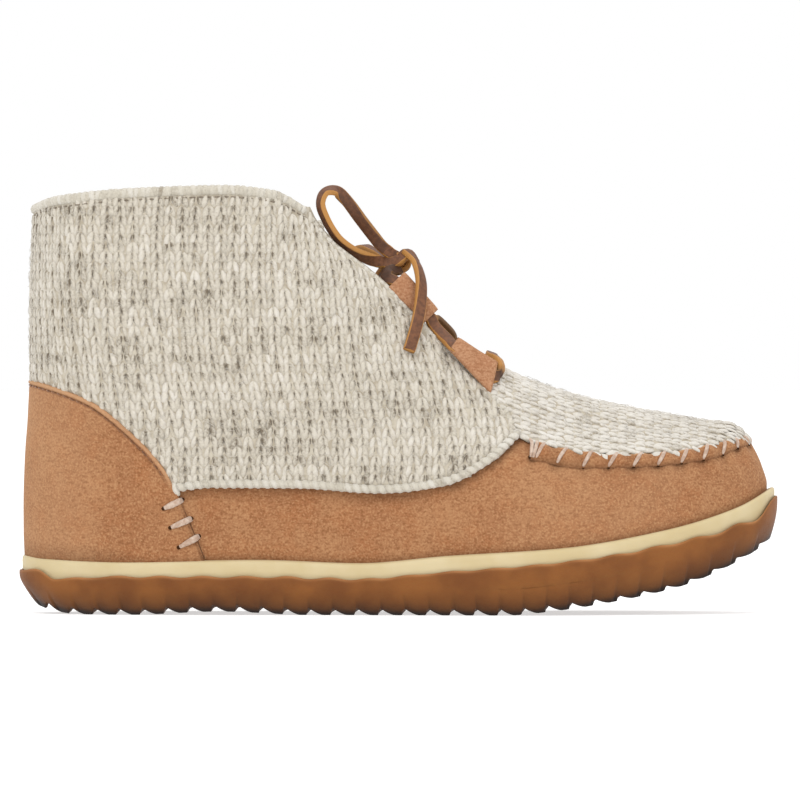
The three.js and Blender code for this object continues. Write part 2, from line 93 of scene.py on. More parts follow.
def even(path, step):
    """The same line with its points about a step apart."""
    run = run_along(path)
    return sampled(path, run, np.linspace(0, run[-1], max(int(run[-1] / step), 2)))


def cubic(xs, ys, x):
    """Monotone cubic through ys at places xs; ys may hold a row of values for each place."""
    xs = np.asarray(xs, float)
    x = np.asarray(x, float)
    ys = np.asarray(ys, float)
    if ys.ndim == 1:
        ys = np.broadcast_to(ys.reshape((-1,) + (1,) * x.ndim), ys.shape + x.shape)
    wide = np.diff(xs).reshape((-1,) + (1,) * x.ndim)
    rise = np.diff(ys, axis=0) / wide
    a, b = rise[:-1], rise[1:]
    both = a * b
    inner = np.where(both > 0, 2 * both / np.where(both > 0, a + b, 1), 0)
    slope = np.concatenate([rise[:1], inner, rise[-1:]])
    i = np.clip(np.searchsorted(xs, x, side="right") - 1, 0, len(xs) - 2)

    def pick(rows, k):
        return np.take_along_axis(rows, k[None], 0)[0]

    width = xs[i + 1] - xs[i]
    t = np.clip((x - xs[i]) / width, 0, 1)
    s = 1 - t
    return (
        s * s * (1 + 2 * t) * pick(ys, i)
        + t * t * (3 - 2 * t) * pick(ys, i + 1)
        + width * t * s * (s * pick(slope, i) - t * pick(slope, i + 1))
    )


class Line:
    """A smooth side-view line through a few points."""

    def __init__(self, *points):
        self.xs, self.ys = np.array(points, float).T

    def __call__(self, x):
        return cubic(self.xs, self.ys, x)


# The last, ring by ring, as in the part
RING_NAMES = ("back_x", "back_z", "front_x", "front_z", "heel", "waist", "ball", "toe", "blunt", "follow")
RING_ROWS = np.array([
    [-127.6, 12.0, 127.6, 35.0, 30.0, 33.0, 42.5, 32.0, 2.3, 1.0],
    [-128.8, 20.7, 128.6, 43.7, 31.0, 34.0, 43.5, 33.0, 2.3, 1.0],
    [-129.0, 38.0, 126.4, 52.0, 32.0, 35.0, 43.0, 32.0, 2.3, 0.7],
    [-128.4, 56.5, 120.6, 61.2, 33.0, 35.0, 38.5, 26.5, 2.2, 0.4],
    [-128.0, 62.0, 113.0, 64.6, 33.3, 35.0, 34.5, 19.5, 2.1, 0.3],
    [-127.6, 67.0, 95.0, 67.9, 33.5, 35.0, 33.0, 18.0, 2.0, 0.2],
    [-127.3, 73.0, 70.0, 72.6, 33.6, 35.0, 32.5, 19.5, 2.0, 0.1],
    [-127.0, 80.0, 45.0, 80.2, 33.8, 35.5, 32.5, 19.5, 2.0, 0.0],
    [-127.0, 87.0, 28.0, 88.8, 34.0, 36.0, 33.0, 19.5, 2.0, 0.0],
    [-127.0, 97.0, 12.0, 101.5, 34.0, 36.5, 33.5, 20.5, 2.0, 0.0],
    [-127.0, 111.0, -5.5, 118.0, 33.5, 37.0, 34.5, 22.0, 2.0, 0.0],
    [-126.4, 128.0, -22.0, 133.0, 33.0, 37.5, 35.5, 23.5, 2.0, 0.0],
    [-125.4, 156.0, -33.0, 156.0, 32.5, 38.0, 36.0, 24.5, 2.0, 0.0],
])
WIDTH_AT = {"heel": 0.12, "waist": 0.4, "ball": 0.68, "toe": 0.9}
BACK_BLUNT = 2.2

CENTRE_LINE = Line((-130, 0.7), (-80, 0.7), (-25, -1.8), (45, -0.3), (100, 5.2), (132, 8.7))
SOLE_LINE = Line((-132, 20.9), (-124, 19.5), (-96, 18.5), (-49, 19.2), (-14, 18.1),
                 (17, 20.7), (56, 23.3), (92, 29.4), (117, 36.9), (132, 45))
FLOOR_LINE = Line((-132, 7), (-127, 3.6), (-119, 0.9), (-110, 0), (-94, 0), (-62, 1.2), (-30, 0), (36, 0),
                  (56, 1.8), (70, 3.9), (84, 6.6), (98, 10), (112, 15.6), (126, 23.2), (132, 28))
RIM_BASE = Line((-132, 16.4), (-117, 12.6), (-97, 13.4), (-49, 13.4), (-14, 12.6), (12, 14.8), (43, 17.2),
                (62, 19.2), (76, 21.2), (90, 23.9), (105, 27.1), (120, 31.7), (134, 41))
COLLAR_TOP = Line((-160, 138), (-130, 141), (-118, 144.9), (-90, 147.7), (-60, 148.6), (-44, 146.8),
                  (-33, 141))
HEM = Line((-77, 43.1), (-65, 44.4), (-34.5, 44.2), (-6.6, 42.5), (14.3, 44.6), (33.4, 54), (41.1, 61.3))
COUNTER_EDGE = Line((-160, 88), (-128, 81.9), (-107, 74.9), (-92.3, 63.5), (-81, 50.9), (-77, 43.1))
SEAM_HOLES = Line((45.3, 54), (64, 50.9), (83, 51.2), (108, 53.8), (119, 57.8), (128, 60))
SEAM_EDGE = Line((44.2, 60.6), (58, 57), (76, 55.4), (93, 56), (109, 58.7), (120, 61), (128, 61.8))
# These two run upwards, so they give x for a height
THROAT_EDGE = Line((61.3, 41.1), (67, 39.5), (78.7, 30.3), (92.3, 16), (106.6, 1.9), (113, -3.9),
                   (118.1, -9.6), (129.2, -23.7), (139, -31), (152, -35))
COUNTER_FOOT = Line((6, -62), (19.5, -67), (43.1, -77))
CORNER_X = -77.0
SEAM_FROM_X = 44.2


def ring(name, level):
    """One value of the last's rings at a level between them."""
    return cubic(np.arange(len(RING_ROWS)), RING_ROWS[:, RING_NAMES.index(name)], level)


def round_end(t, blunt):
    """Share of its full width that a ring has along its length, drawn in at both ends."""
    n = np.where(t < 0.5, BACK_BLUNT, blunt)
    return np.clip(1 - np.abs(2 * t - 1) ** n, 0, 1) ** (1 / n)


def half_width(level, t):
    """Half the last's width at a level and a share of the way from back to front."""
    blunt = ring("blunt", level)
    full = [ring(name, level) / round_end(np.full_like(t, at), blunt) for name, at in WIDTH_AT.items()]
    places = [0, *WIDTH_AT.values(), 1]
    return cubic(places, np.stack([full[0], *full, full[-1]]), t) * round_end(t, blunt)


SOLE_ENDS = [float(ring(name, SOLE_LEVEL)) for name in RING_NAMES[:4]]


def last_point(level, turn):
    """A point of the last; turn is 0 at the back, pi at the front and negative on the inner side."""
    level, turn = np.broadcast_arrays(np.asarray(level, float), np.asarray(turn, float))
    t = (1 - np.cos(turn)) / 2
    x = lerp(ring("back_x", level), ring("front_x", level), t)
    sag = SOLE_LINE(lerp(SOLE_ENDS[0], SOLE_ENDS[2], t)) - lerp(SOLE_ENDS[1], SOLE_ENDS[3], t)
    z = lerp(ring("back_z", level), ring("front_z", level), t) + ring("follow", level) * sag
    y = CENTRE_LINE(x) - np.sign(np.sin(turn)) * half_width(level, t)
    return np.stack([x, y, z], -1)


def last_normal(level, turn, step=0.02):
    """The direction out of the last."""
    above = last_point(np.minimum(level + step, TOP_LEVEL), turn)
    below = last_point(np.maximum(level - step, 0), turn)
    around = last_point(level, turn + step) - last_point(level, turn - step)
    return unit(np.cross(around, above - below))


def place(level, turn, lift):
    """A point lifted off the last."""
    level, turn = np.broadcast_arrays(np.asarray(level, float), np.asarray(turn, float))
    lift = np.broadcast_to(np.asarray(lift, float), level.shape)
    return last_point(level, turn) + last_normal(level, turn) * lift[..., None]


def level_where(turn, line):
    """The level at which the last, at this turn, meets a side-view line z(x)."""
    turn = np.asarray(turn, float)
    low, high = np.zeros_like(turn), np.full_like(turn, TOP_LEVEL)
    for _ in range(36):
        middle = (low + high) / 2
        p = last_point(middle, turn)
        below = p[..., 2] < line(p[..., 0])
        low, high = np.where(below, middle, low), np.where(below, high, middle)
    return (low + high) / 2


def exit_level(turn, start, outside):
    """Going up from a start level, the first level whose point is outside a region."""
    shares = np.linspace(0, 1, 150)[:, None]
    levels = start + (TOP_LEVEL - start) * shares
    hit = outside(last_point(levels, np.broadcast_to(turn, levels.shape)))
    hit[-1] = True
    first = np.maximum(np.argmax(hit, 0), 1)
    column = np.arange(len(turn))
    low, high = levels[first - 1, column], levels[first, column]
    for _ in range(20):
        middle = (low + high) / 2
        is_out = outside(last_point(middle, turn))
        low, high = np.where(is_out, low, middle), np.where(is_out, middle, high)
    return np.where(hit[0], start, low)


def on_side(x, z, side):
    """Level and turn of the last's point that the side view shows at x, z; side is -1 outer, 1 inner."""
    x, z = np.broadcast_arrays(np.asarray(x, float), np.asarray(z, float))

    def turn_at(level):
        back, front = ring("back_x", level), ring("front_x", level)
        return np.arccos(1 - 2 * np.clip((x - back) / (front - back), 0, 1)) * -side

    low, high = np.zeros_like(z), np.full_like(z, TOP_LEVEL)
    for _ in range(36):
        middle = (low + high) / 2
        below = last_point(middle, turn_at(middle))[..., 2] < z
        low, high = np.where(below, middle, low), np.where(below, high, middle)
    level = (low + high) / 2
    return level, turn_at(level)


# Regions of the side view
def above_collar(p):
    return p[..., 2] > COLLAR_TOP(p[..., 0])


def in_throat(p):
    x, z = p[..., 0], p[..., 2]
    return (z > THROAT_EDGE.xs[0]) & (x > THROAT_EDGE(z))


SLIT_HALF_WIDTH = 8.0
SLIT_TOP_X = -53.0
SLIT_BOTTOM_X = 27.0
SLIT_FLOOR = 60.0
THROAT_FROM_X = 13.0


def in_slit(p):
    """The opening of the wall under the lacing."""
    x, y, z = p[..., 0], p[..., 1], p[..., 2]
    slot = (x > SLIT_TOP_X) & (x < SLIT_BOTTOM_X) & (np.abs(y) < SLIT_HALF_WIDTH) & (z > SLIT_FLOOR)
    return slot | (in_throat(p) & (x < THROAT_FROM_X))


def quarter_foot(x):
    """The lower edge of the ankle's knit."""
    return np.where(x < CORNER_X, COUNTER_EDGE(x), HEM(x))


# Meshes from arrays
def grid_faces(rows, cols, wrap=False, start=0):
    """Quads of a grid of points, closed round its columns if it wraps."""
    r, c = np.meshgrid(np.arange(rows - 1), np.arange(cols if wrap else cols - 1), indexing="ij")
    n = (c + 1) % cols
    corners = [r * cols + c, r * cols + n, (r + 1) * cols + n, (r + 1) * cols + c]
    return np.stack(corners, -1).reshape(-1, 4) + start


def border_of(rows, cols):
    """Indices around the edge of a grid, in order."""
    first = np.arange(cols)
    right = np.arange(1, rows) * cols + cols - 1
    last = (rows - 1) * cols + np.arange(cols - 2, -1, -1)
    left = np.arange(rows - 2, 0, -1) * cols
    return np.concatenate([first, right, last, left])


def shell(outer, inner, wrap=False):
    """Two grids of points joined along their borders into one closed skin."""
    rows, cols = outer.shape[:2]
    count = rows * cols
    faces = [grid_faces(rows, cols, wrap), grid_faces(rows, cols, wrap, count)[:, ::-1]]
    if wrap:
        loops = [np.arange(cols), (rows - 1) * cols + np.arange(cols)]
    else:
        loops = [border_of(rows, cols)]
    for loop in loops:
        after = np.roll(loop, -1)
        faces.append(np.stack([loop, after, after + count, loop + count], -1))
    return np.concatenate([outer.reshape(-1, 3), inner.reshape(-1, 3)]), np.concatenate(faces).tolist()


def on_front(**grids):
    """Finish values of a shell: these grids on its outer skin and nothing on its inner one."""
    return {key: np.concatenate([grid.ravel(), np.zeros(grid.size)]) for key, grid in grids.items()}


def tubes(paths, sides, ups, half_widths, half_heights, corners):
    """Many tubes at once: paths, sides and ups are (tube, step, 3), half sizes (tube, step)."""
    count, steps = paths.shape[:2]
    angle = np.linspace(0, 2 * math.pi, corners, endpoint=False)
    across = half_widths[..., None] * np.cos(angle)
    over = half_heights[..., None] * np.sin(angle)
    rings = paths[:, :, None] + sides[:, :, None] * across[..., None] + ups[:, :, None] * over[..., None]
    size = steps * corners
    starts = (np.arange(count) * size)[:, None, None]
    quads = (grid_faces(steps, corners, True)[None] + starts).reshape(-1, 4).tolist()
    cap = np.arange(corners)
    caps = np.concatenate([cap[None, None] + starts, cap[None, None, ::-1] + starts + size - corners])
    return rings.reshape(-1, 3), quads + caps.reshape(-1, corners).tolist()


def tubes_along(paths, ups, radius, flat, corners, taper):
    """Tubes whose upper side keeps to the given directions; taper rounds their ends."""
    tangents = unit(np.gradient(paths, axis=1))
    sides = unit(np.cross(tangents, ups))
    ups = np.cross(sides, tangents)
    q = np.linspace(0, 1, paths.shape[1])
    shape = np.clip(np.sin(math.pi * (0.04 + 0.92 * q)), 0, 1) ** taper
    radius = np.asarray(radius, float)
    if radius.ndim < 2:
        radius = radius.reshape(-1, 1)
    half = np.broadcast_to(radius * shape, paths.shape[:2])
    return tubes(paths, sides, ups, half, half * flat, corners)


def joined(parts):
    """Several meshes as one."""
    points, faces, start = [], [], 0
    for part_points, part_faces in parts:
        points.append(part_points)
        faces.extend([[i + start for i in face] for face in part_faces])
        start += len(part_points)
    return np.concatenate(points), faces


def piece(name, points, faces, material, slot, nodes=(), values=None):
    """A named mesh that rides on the slipper and stands for its solids."""
    mesh = bpy.data.meshes.new(name)
    mesh.from_pydata((points * MM).tolist(), [], faces)
    body = bmesh.new()
    body.from_mesh(mesh)
    bmesh.ops.recalc_face_normals(body, faces=body.faces)
    body.to_mesh(mesh)
    body.free()
    mesh.polygons.foreach_set("use_smooth", np.ones(len(mesh.polygons), bool))
    for key, data in (values or {}).items():
        layer = mesh.attributes.new(key, "FLOAT", "POINT")
        layer.data.foreach_set("value", np.ascontiguousarray(data, np.float32).ravel())
    mesh.materials.append(material)
    made = bpy.data.objects.new(name, mesh)
    bpy.context.scene.collection.objects.link(made)
    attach(made, "root")
    if nodes:
        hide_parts(*nodes)
    return made


# Finishes
STUDIO_GAIN = 1.55


def tone(red, green, blue, gain=STUDIO_GAIN):
    """The shader's colour for one that shows as 0 to 255 in this bright studio."""
    def linear(c):
        c /= 255
        return (c / 12.92 if c <= 0.04045 else ((c + 0.055) / 1.055) ** 2.4) / gain
    return (linear(red), linear(green), linear(blue), 1.0)


class Wire:
    """A socket of a finish that can stand in sums."""

    def __init__(self, finish, socket):
        self.finish, self.socket = finish, socket

    def sum(self, operation, first, second=0.0):
        return self.finish.node("ShaderNodeMath", {"operation": operation}, {0: first, 1: second})

    def __add__(self, other):
        return self.sum("ADD", self, other)

    def __radd__(self, other):
        return self.sum("ADD", other, self)

    def __sub__(self, other):
        return self.sum("SUBTRACT", self, other)

    def __rsub__(self, other):
        return self.sum("SUBTRACT", other, self)

    def __mul__(self, other):
        return self.sum("MULTIPLY", self, other)

    def __rmul__(self, other):
        return self.sum("MULTIPLY", other, self)

    def sine(self):
        return self.sum("SINE", self)

    def between(self, low, high):
        """0 below low, 1 above high and smooth between them."""
        settings = {"interpolation_type": "SMOOTHSTEP"}
        return self.finish.node("ShaderNodeMapRange", settings, {0: self, 1: low, 2: high, 3: 0.0, 4: 1.0})


class Finish:
    """A material whose nodes are written as sums."""

    def __init__(self, name, **constants):
        self.material = bpy.data.materials.new(name)
        self.material.use_nodes = True
        self.tree = self.material.node_tree
        self.shader = self.tree.nodes["Principled BSDF"]
        for socket, value in constants.items():
            self.shader.inputs[socket.replace("_", " ")].default_value = value
        self.places = self.node("ShaderNodeTexCoord", {}, {}, "Object")

    def node(self, kind, settings, sockets, output=0):
        made = self.tree.nodes.new(kind)
        for name, value in settings.items():
            setattr(made, name, value)
        for key, value in sockets.items():
            self.feed(made.inputs[key], value)
        return Wire(self, made.outputs[output])

    def feed(self, socket, value):
        if isinstance(value, Wire):
            self.tree.links.new(value.socket, socket)
        else:
            socket.default_value = value

    def noise(self, size, detail=3.0, stretch=None):
        """Cloudy noise with blotches of about this size in millimetres."""
        where = self.places
        if stretch:
            where = self.node("ShaderNodeVectorMath", {"operation": "MULTIPLY"}, {0: where, 1: stretch})
        sockets = {"Vector": where, "Scale": 1 / (size * MM), "Detail": detail}
        return self.node("ShaderNodeTexNoise", {}, sockets)

    def value(self, name):
        return self.node("ShaderNodeAttribute", {"attribute_name": name}, {}, "Fac")

    def mix(self, factor, first, second):
        return self.node("ShaderNodeMix", {"data_type": "RGBA"}, {0: factor, 6: first, 7: second}, 2)

    def bump(self, height, depth, strength=1.0):
        """Relief of this depth in millimetres."""
        sockets = {"Strength": strength, "Distance": depth * MM, "Height": height}
        self.feed(self.shader.inputs["Normal"], self.node("ShaderNodeBump", {}, sockets))

    def paint(self, colour=None, roughness=None):
        if colour is not None:
            self.feed(self.shader.inputs["Base Color"], colour)
        if roughness is not None:
            self.feed(self.shader.inputs["Roughness"], roughness)
        return self.material


def suede(name, light, middle, dark, warm):
    """Napped suede: brushed patches, a short streaky nap and pale flecks, shaded where the mesh says so."""
    finish = Finish(name, Roughness=0.95, Specular_IOR_Level=0.2, Sheen_Weight=0.2, Sheen_Roughness=0.6)
    finish.shader.inputs["Sheen Tint"].default_value = tone(255, 214, 170)
    nap = finish.noise(1.2, 4, (0.7, 0.7, 1.5))
    flecks = finish.noise(0.7, 3)
    colour = finish.mix(finish.noise(17, 4).between(0.32, 0.68) * 0.5, middle, light)
    colour = finish.mix(finish.noise(8, 3).between(0.42, 0.68) * 0.45, colour, warm)
    colour = finish.mix(nap.between(0.46, 0.66) * 0.62, colour, dark)
    colour = finish.mix(flecks.between(0.5, 0.66) * 0.78, colour, light)
    colour = finish.mix((1 - flecks).between(0.53, 0.68) * 0.55, colour, dark)
    colour = finish.mix(finish.value("worn"), colour, tone(232, 184, 140))
    colour = finish.mix(finish.value("shade"), colour, tone(96, 58, 34))
    finish.bump(flecks * 0.9 + finish.noise(0.4, 2) * 0.5 + nap * 0.7, 0.3, 0.9)
    return finish.paint(colour)


def yarn(name, light, middle, dark):
    """Marled wool: each leg of a stitch has its own tone in broad soft patches, with fibres along it, and
    painted shade where the mesh says so.
    """
    finish = Finish(name, Roughness=0.95, Specular_IOR_Level=0.15, Sheen_Weight=0.35, Sheen_Roughness=0.5)
    fibres = finish.noise(0.75, 3)
    shade = finish.value("shade") + (fibres - 0.5) * 0.9 + (finish.noise(15, 2) - 0.5) * 0.7
    colour = finish.mix(shade.between(-0.25, 0.5), dark, middle)
    colour = finish.mix(shade.between(0.4, 1.0), colour, light)
    twist = (finish.value("along") * 11 + finish.value("around")).sine()
    finish.bump(twist * 0.3 + fibres + finish.noise(0.3, 2) * 0.6, 0.25, 0.8)
    return finish.paint(colour)


def backing_cloth(name, light, dark):
    finish = Finish(name, Roughness=1.0, Specular_IOR_Level=0.1)
    finish.bump(finish.noise(1.2, 2), 0.3)
    return finish.paint(finish.mix(finish.noise(2.5, 3).between(0.35, 0.65), dark, light))


def fleece(name, light, dark):
    finish = Finish(name, Roughness=1.0, Specular_IOR_Level=0.1, Sheen_Weight=0.4)
    clumps = finish.noise(2.2, 4)
    finish.bump(clumps + finish.noise(0.5, 2) * 0.5, 0.8, 0.8)
    return finish.paint(finish.mix(clumps.between(0.35, 0.65), dark, light))


def gum_rubber():
    finish = Finish("gum_rubber", Specular_IOR_Level=0.22, Subsurface_Weight=0.12, Subsurface_Scale=0.004)
    finish.shader.inputs["Subsurface Radius"].default_value = (1.0, 0.45, 0.2)
    clouds = finish.noise(14, 3).between(0.3, 0.7)
    dust = finish.noise(0.6, 3).between(0.5, 0.8)
    colour = finish.mix(clouds, tone(133, 78, 32), tone(156, 96, 42))
    colour = finish.mix(finish.value("shade"), colour, tone(36, 21, 11))
    # Painted highlight: the rim's top edge turns pale
    colour = finish.mix(finish.value("edge") * 0.8, colour, tone(206, 146, 92))
    finish.bump(finish.noise(0.8, 3), 0.08, 0.7)
    return finish.paint(colour, 0.58 + dust * 0.2)


def foam():
    finish = Finish("foam", Specular_IOR_Level=0.4, Subsurface_Weight=0.08, Subsurface_Scale=0.003)
    finish.shader.inputs["Subsurface Radius"].default_value = (1.0, 0.8, 0.5)
    clouds = finish.noise(18, 3).between(0.3, 0.7)
    colour = finish.mix(clouds, tone(228, 206, 156), tone(238, 219, 174))
    colour = finish.mix(finish.value("shade"), colour, tone(150, 116, 72))
    finish.bump(finish.noise(3.5, 2) + finish.noise(0.5, 2) * 0.2, 0.18, 0.6)
    return finish.paint(colour, 0.5 + finish.noise(2, 3) * 0.15)


def lace_leather():
    """Oiled leather: a brown face and a pale golden cut edge."""
    finish = Finish("lace_leather", Specular_IOR_Level=0.4)
    grain = finish.noise(1.4, 4)
    colour = finish.mix(grain.between(0.3, 0.7), tone(104, 64, 38), tone(138, 88, 56))
    edge = (finish.value("edge") + (finish.noise(1.2, 2) - 0.5) * 0.3).between(0.35, 0.65)
    colour = finish.mix(edge, colour, tone(204, 144, 72))
    # Painted shade where a strand lies in shade
    colour = finish.mix(finish.value("shade"), colour, tone(62, 38, 22))
    finish.bump(grain + finish.noise(0.5, 2) * 0.4, 0.12, 0.7)
    return finish.paint(colour, 0.5 + grain * 0.25)


def thread(name, light, dark):
    finish = Finish(name, Roughness=0.9, Specular_IOR_Level=0.2, Sheen_Weight=0.3)
    finish.bump(finish.noise(0.5, 2, (1.0, 1.0, 0.5)), 0.2)
    return finish.paint(finish.mix(finish.noise(1.5, 3).between(0.35, 0.65), dark, light))


# Painted shade that fills the stitch holes in the suede
def painted_hole_shade():
    finish = Finish("painted_hole_shade", Roughness=1.0, Specular_IOR_Level=0.0)
    return finish.paint(finish.mix(finish.noise(0.8), tone(58, 36, 22), tone(82, 52, 32)))


SUEDE = suede("suede", tone(211, 158, 112), tone(183, 126, 85), tone(150, 95, 58), tone(184, 117, 72))
TAB_SUEDE = suede("tab_suede", tone(216, 164, 126), tone(196, 142, 104), tone(168, 112, 76),
                  tone(192, 130, 92))
YARN = yarn("knit_yarn", tone(250, 243, 231), tone(233, 224, 207), tone(132, 119, 100))
APRON_YARN = yarn("apron_yarn", tone(253, 248, 239), tone(243, 236, 224), tone(188, 177, 159))
HEM_YARN = yarn("hem_yarn", tone(243, 237, 225), tone(229, 221, 204), tone(168, 155, 135))
BACKING = backing_cloth("knit_backing", tone(226, 216, 197), tone(198, 186, 166))
LINING = fleece("lining", tone(230, 222, 206), tone(200, 190, 170))
RUBBER = gum_rubber()
FOAM = foam()
LACE = lace_leather()
WHIP_YARN = thread("whip_yarn", tone(234, 210, 190), tone(206, 174, 152))
TAN_THREAD = thread("tan_thread", tone(164, 110, 70), tone(126, 80, 48))
GREY_THREAD = thread("grey_thread", tone(164, 150, 132), tone(132, 119, 102))
HOLE_SHADE = painted_hole_shade()


# Camera: level with the shoe's outer side, through a long lens
VIEW_WIDTH = 278.6
VIEW_CENTRE = Vector((0.35, 0.0, 74.2)) * MM
CAMERA_DISTANCE = 5.0
CAMERA_RISE = math.radians(0.4)


def make_camera():
    data = bpy.data.cameras.new("camera")
    data.sensor_width = 36.0
    data.lens = data.sensor_width * CAMERA_DISTANCE / (VIEW_WIDTH * MM)
    data.clip_end = 50.0
    made = bpy.data.objects.new("camera", data)
    back = Vector((0, -math.cos(CAMERA_RISE), math.sin(CAMERA_RISE)))
    made.location = VIEW_CENTRE + back * CAMERA_DISTANCE
    made.rotation_mode = "QUATERNION"
    made.rotation_quaternion = (-back).to_track_quat("-Z", "Y")
    bpy.context.scene.collection.objects.link(made)
    bpy.context.scene.camera = made


make_camera()


# Lace
def catmull_rom(places, per_span):
    """Centripetal curve through points, with this many steps between each two."""
    p = np.array(places, float)
    p = np.concatenate([[2 * p[0] - p[1]], p, [2 * p[-1] - p[-2]]])
    gaps = np.linalg.norm(np.diff(p, axis=0), axis=1) ** 0.5
    found = []
    for i in range(1, len(p) - 2):
        d0, d1, d2 = gaps[i - 1:i + 2]
        start = ((p[i] - p[i - 1]) / d0 - (p[i + 1] - p[i - 1]) / (d0 + d1) + (p[i + 1] - p[i]) / d1) * d1
        end = ((p[i + 1] - p[i]) / d1 - (p[i + 2] - p[i]) / (d1 + d2) + (p[i + 2] - p[i + 1]) / d2) * d1
        t = np.linspace(0, 1, per_span, endpoint=False)[:, None]
        s = 1 - t
        ease = s * s * (1 + 2 * t) * p[i] + t * t * (3 - 2 * t) * p[i + 1]
        found.append(ease + t * s * (s * start - t * end))
    return np.concatenate([*found, p[-2:-1]])


def lace_section():
    """Rounded outline of a flat strip, with 1 on its cut edges and its raw back."""
    w, t, bevel = LACE_WIDTH / 2, LACE_THICKNESS / 2, LACE_BEVEL
    corner = [(w, t - bevel), (w - bevel * 0.4, t - bevel * 0.3), (w - bevel, t)]
    quarter = [(w, 0.0), *corner, (w * 0.4, t * 1.04)]
    half = quarter + [(-x, y) for x, y in reversed(quarter[1:])]
    section = half + [(-x, -y) for x, y in half]
    edge = [1.0 if abs(x) > w - bevel * 0.6 or y < -t / 2 else 0.0 for x, y in section]
    return np.array(section), np.array(edge)


def lace_strip(rows, per_span=8):
    """Points, faces, finish values and route of a lace along rows of place, facing, and gold and painted
    shade.
    """
    path = catmull_rom([row[0] for row in rows], per_span)
    at = np.arange(len(path))
    knots = np.arange(len(rows)) * per_span
    facing = sampled(np.array([row[1] for row in rows], float), knots, at)
    tangent = unit(np.gradient(path, axis=0))
    facing = unit(facing - tangent * np.sum(facing * tangent, -1, keepdims=True))
    across = np.cross(facing, tangent)
    section, edge = lace_section()
    rings = path[:, None] + across[:, None] * section[None, :, :1] + facing[:, None] * section[None, :, 1:]
    steps, corners = rings.shape[:2]
    cap = list(range(corners))
    last_cap = [(steps - 1) * corners + i for i in reversed(cap)]
    faces = grid_faces(steps, corners, True).tolist() + [cap, last_cap]
    gold_and_shade = np.array([row[2] if len(row) > 2 else PLAIN for row in rows], float)
    gold, dark = (np.interp(at, knots, gold_and_shade[:, k])[:, None] for k in (0, 1))
    values = {"edge": np.maximum(edge, gold).ravel(), "shade": np.repeat(dark, corners)}
    return rings.reshape(-1, 3), faces, values, path


def lace_pieces(strips):
    """Several strips as one mesh, with their finish values."""
    points, faces = joined([strip[:2] for strip in strips])
    values = {key: np.concatenate([strip[2][key] for strip in strips]) for key in ("edge", "shade")}
    return points, faces, values


# Gold and painted shade of a lace: how far it turns to the gold of its raw side, and how dark its face is
# painted where it lies in shade
PLAIN, DEEP_SHADE, SOFT_SHADE, RAW = (0, 0), (0, 0.75), (0, 0.35), (1, 0)
# Rows of a lace's route: place, the direction that its face looks and, if any, its gold and painted shade
BOW_OUTER = [
    [(-4.9, -2.4, 121.9), (0.1, -0.8, 0.6)],
    [(-10, -6.5, 123.2), (0.1, -0.8, -0.3)],
    [(-16.2, -12.5, 126.2), (-0.4, -0.6, -0.7)],
    [(-21.4, -15.8, 130.6), (-0.75, -0.45, -0.5)],
    [(-25.4, -16.6, 137), (-0.88, -0.42, -0.25)],
    [(-27.2, -16.2, 142.4), (-0.9, -0.42, 0.1)],
    [(-25.9, -15, 146.2), (-0.65, -0.5, 0.55)],
    [(-22.2, -12.8, 147), (-0.1, -0.7, 0.7)],
    # The upper strand of this loop has painted shade
    [(-18.6, -10.6, 144), (0.0, -0.95, 0.1), SOFT_SHADE],
    [(-13.2, -7, 136.9), (-0.25, -0.9, -0.3), SOFT_SHADE],
    [(-9.5, -4.5, 132.1), (-0.2, -0.9, -0.3), SOFT_SHADE],
    [(-6.2, -2.8, 128), (0.0, -1, -0.1), SOFT_SHADE],
    [(-3.6, -1.8, 125.7), (0.1, -1, 0.1)],
]
BOW_INNER = [
    [(-5.2, 1.8, 122.6), (0, 0.6, 1)],
    [(-8.5, 6.5, 125.4), (0, 0.4, 1)],
    [(-12.2, 14, 127.4), (-0.1, 0, 1)],
    [(-15, 22, 125.6), (-0.3, 0.6, 0.8)],
    [(-16.2, 27, 121.4), (-0.5, 0.8, 0.3)],
    [(-15, 29, 117), (-0.4, 0.9, -0.2)],
    [(-11.6, 27.2, 114.2), (0, 0.6, -0.8)],
    [(-8, 21.6, 115.8), (0.1, -0.2, -0.9)],
    [(-4.9, 14.4, 119.8), (0.2, -0.4, -0.8)],
    [(-2.6, 9, 123), (0.2, -0.2, -1)],
    [(-1.6, 5.6, 123.6), (0.2, -0.2, -1)],
]
TAIL = [
    [(2.6, 3.6, 125.9), (0.4, 0.3, 0.9)],
    [(5.8, 7.4, 122), (0.9, 0.3, 0.5)],
    [(7.6, 12, 116), (0.8, 0.7, 0.2)],
    [(7.6, 15.8, 110), (0.5, 0.9, 0.1)],
    [(6.9, 19.6, 104), (0.3, 0.9, 0.3)],
    [(5.5, 23.8, 98.2), (0.3, 0.9, 0.3)],
    [(3.5, 28, 91.6), (0.3, 0.9, 0.3)],
]
TAIL_OUTER = [[(x, -y, z), (fx, -fy, fz)] for (x, y, z), (fx, fy, fz) in TAIL]


def free_lace(name, rows):
    """A loop or end of the bow."""
    points, faces, values, path = lace_strip(rows)
    made = piece(name + "_strip", points, faces, LACE, "lace_leather", [name], values)
    (path[0] * MM).tolist()
    (path * MM).tolist()


free_lace("lace_bow_outer", BOW_OUTER)
free_lace("lace_bow_inner", BOW_INNER)
free_lace("lace_tail_outer", TAIL_OUTER)
free_lace("lace_tail_inner", TAIL)

# Lace loops: middle in the side view, distance from the middle plane, slope along the throat
LOOPS = {"upper": (5.6, 110.2, 9.8, 46), "lower": (26.2, 88.9, 18.8, 38)}
LOOP_LENGTH = 17.5
LOOP_WALL = 1.2
LOOP_CLEARANCE = 0.1
LOOP_ROLL = math.radians(35)
LACE_DROP = 1.6  # how low in its loops the lace lies
# Places of the lace between the two loops of a side
LACE_BETWEEN = {
    "outer": [(12.2, -13.2, 100.1), (14.4, -15.4, 97.6), (16.7, -17.8, 95.3)],
    "inner": [(12.5, 12.8, 102.3), (15.3, 14.8, 99.8), (18, 17.2, 96.6)],
}


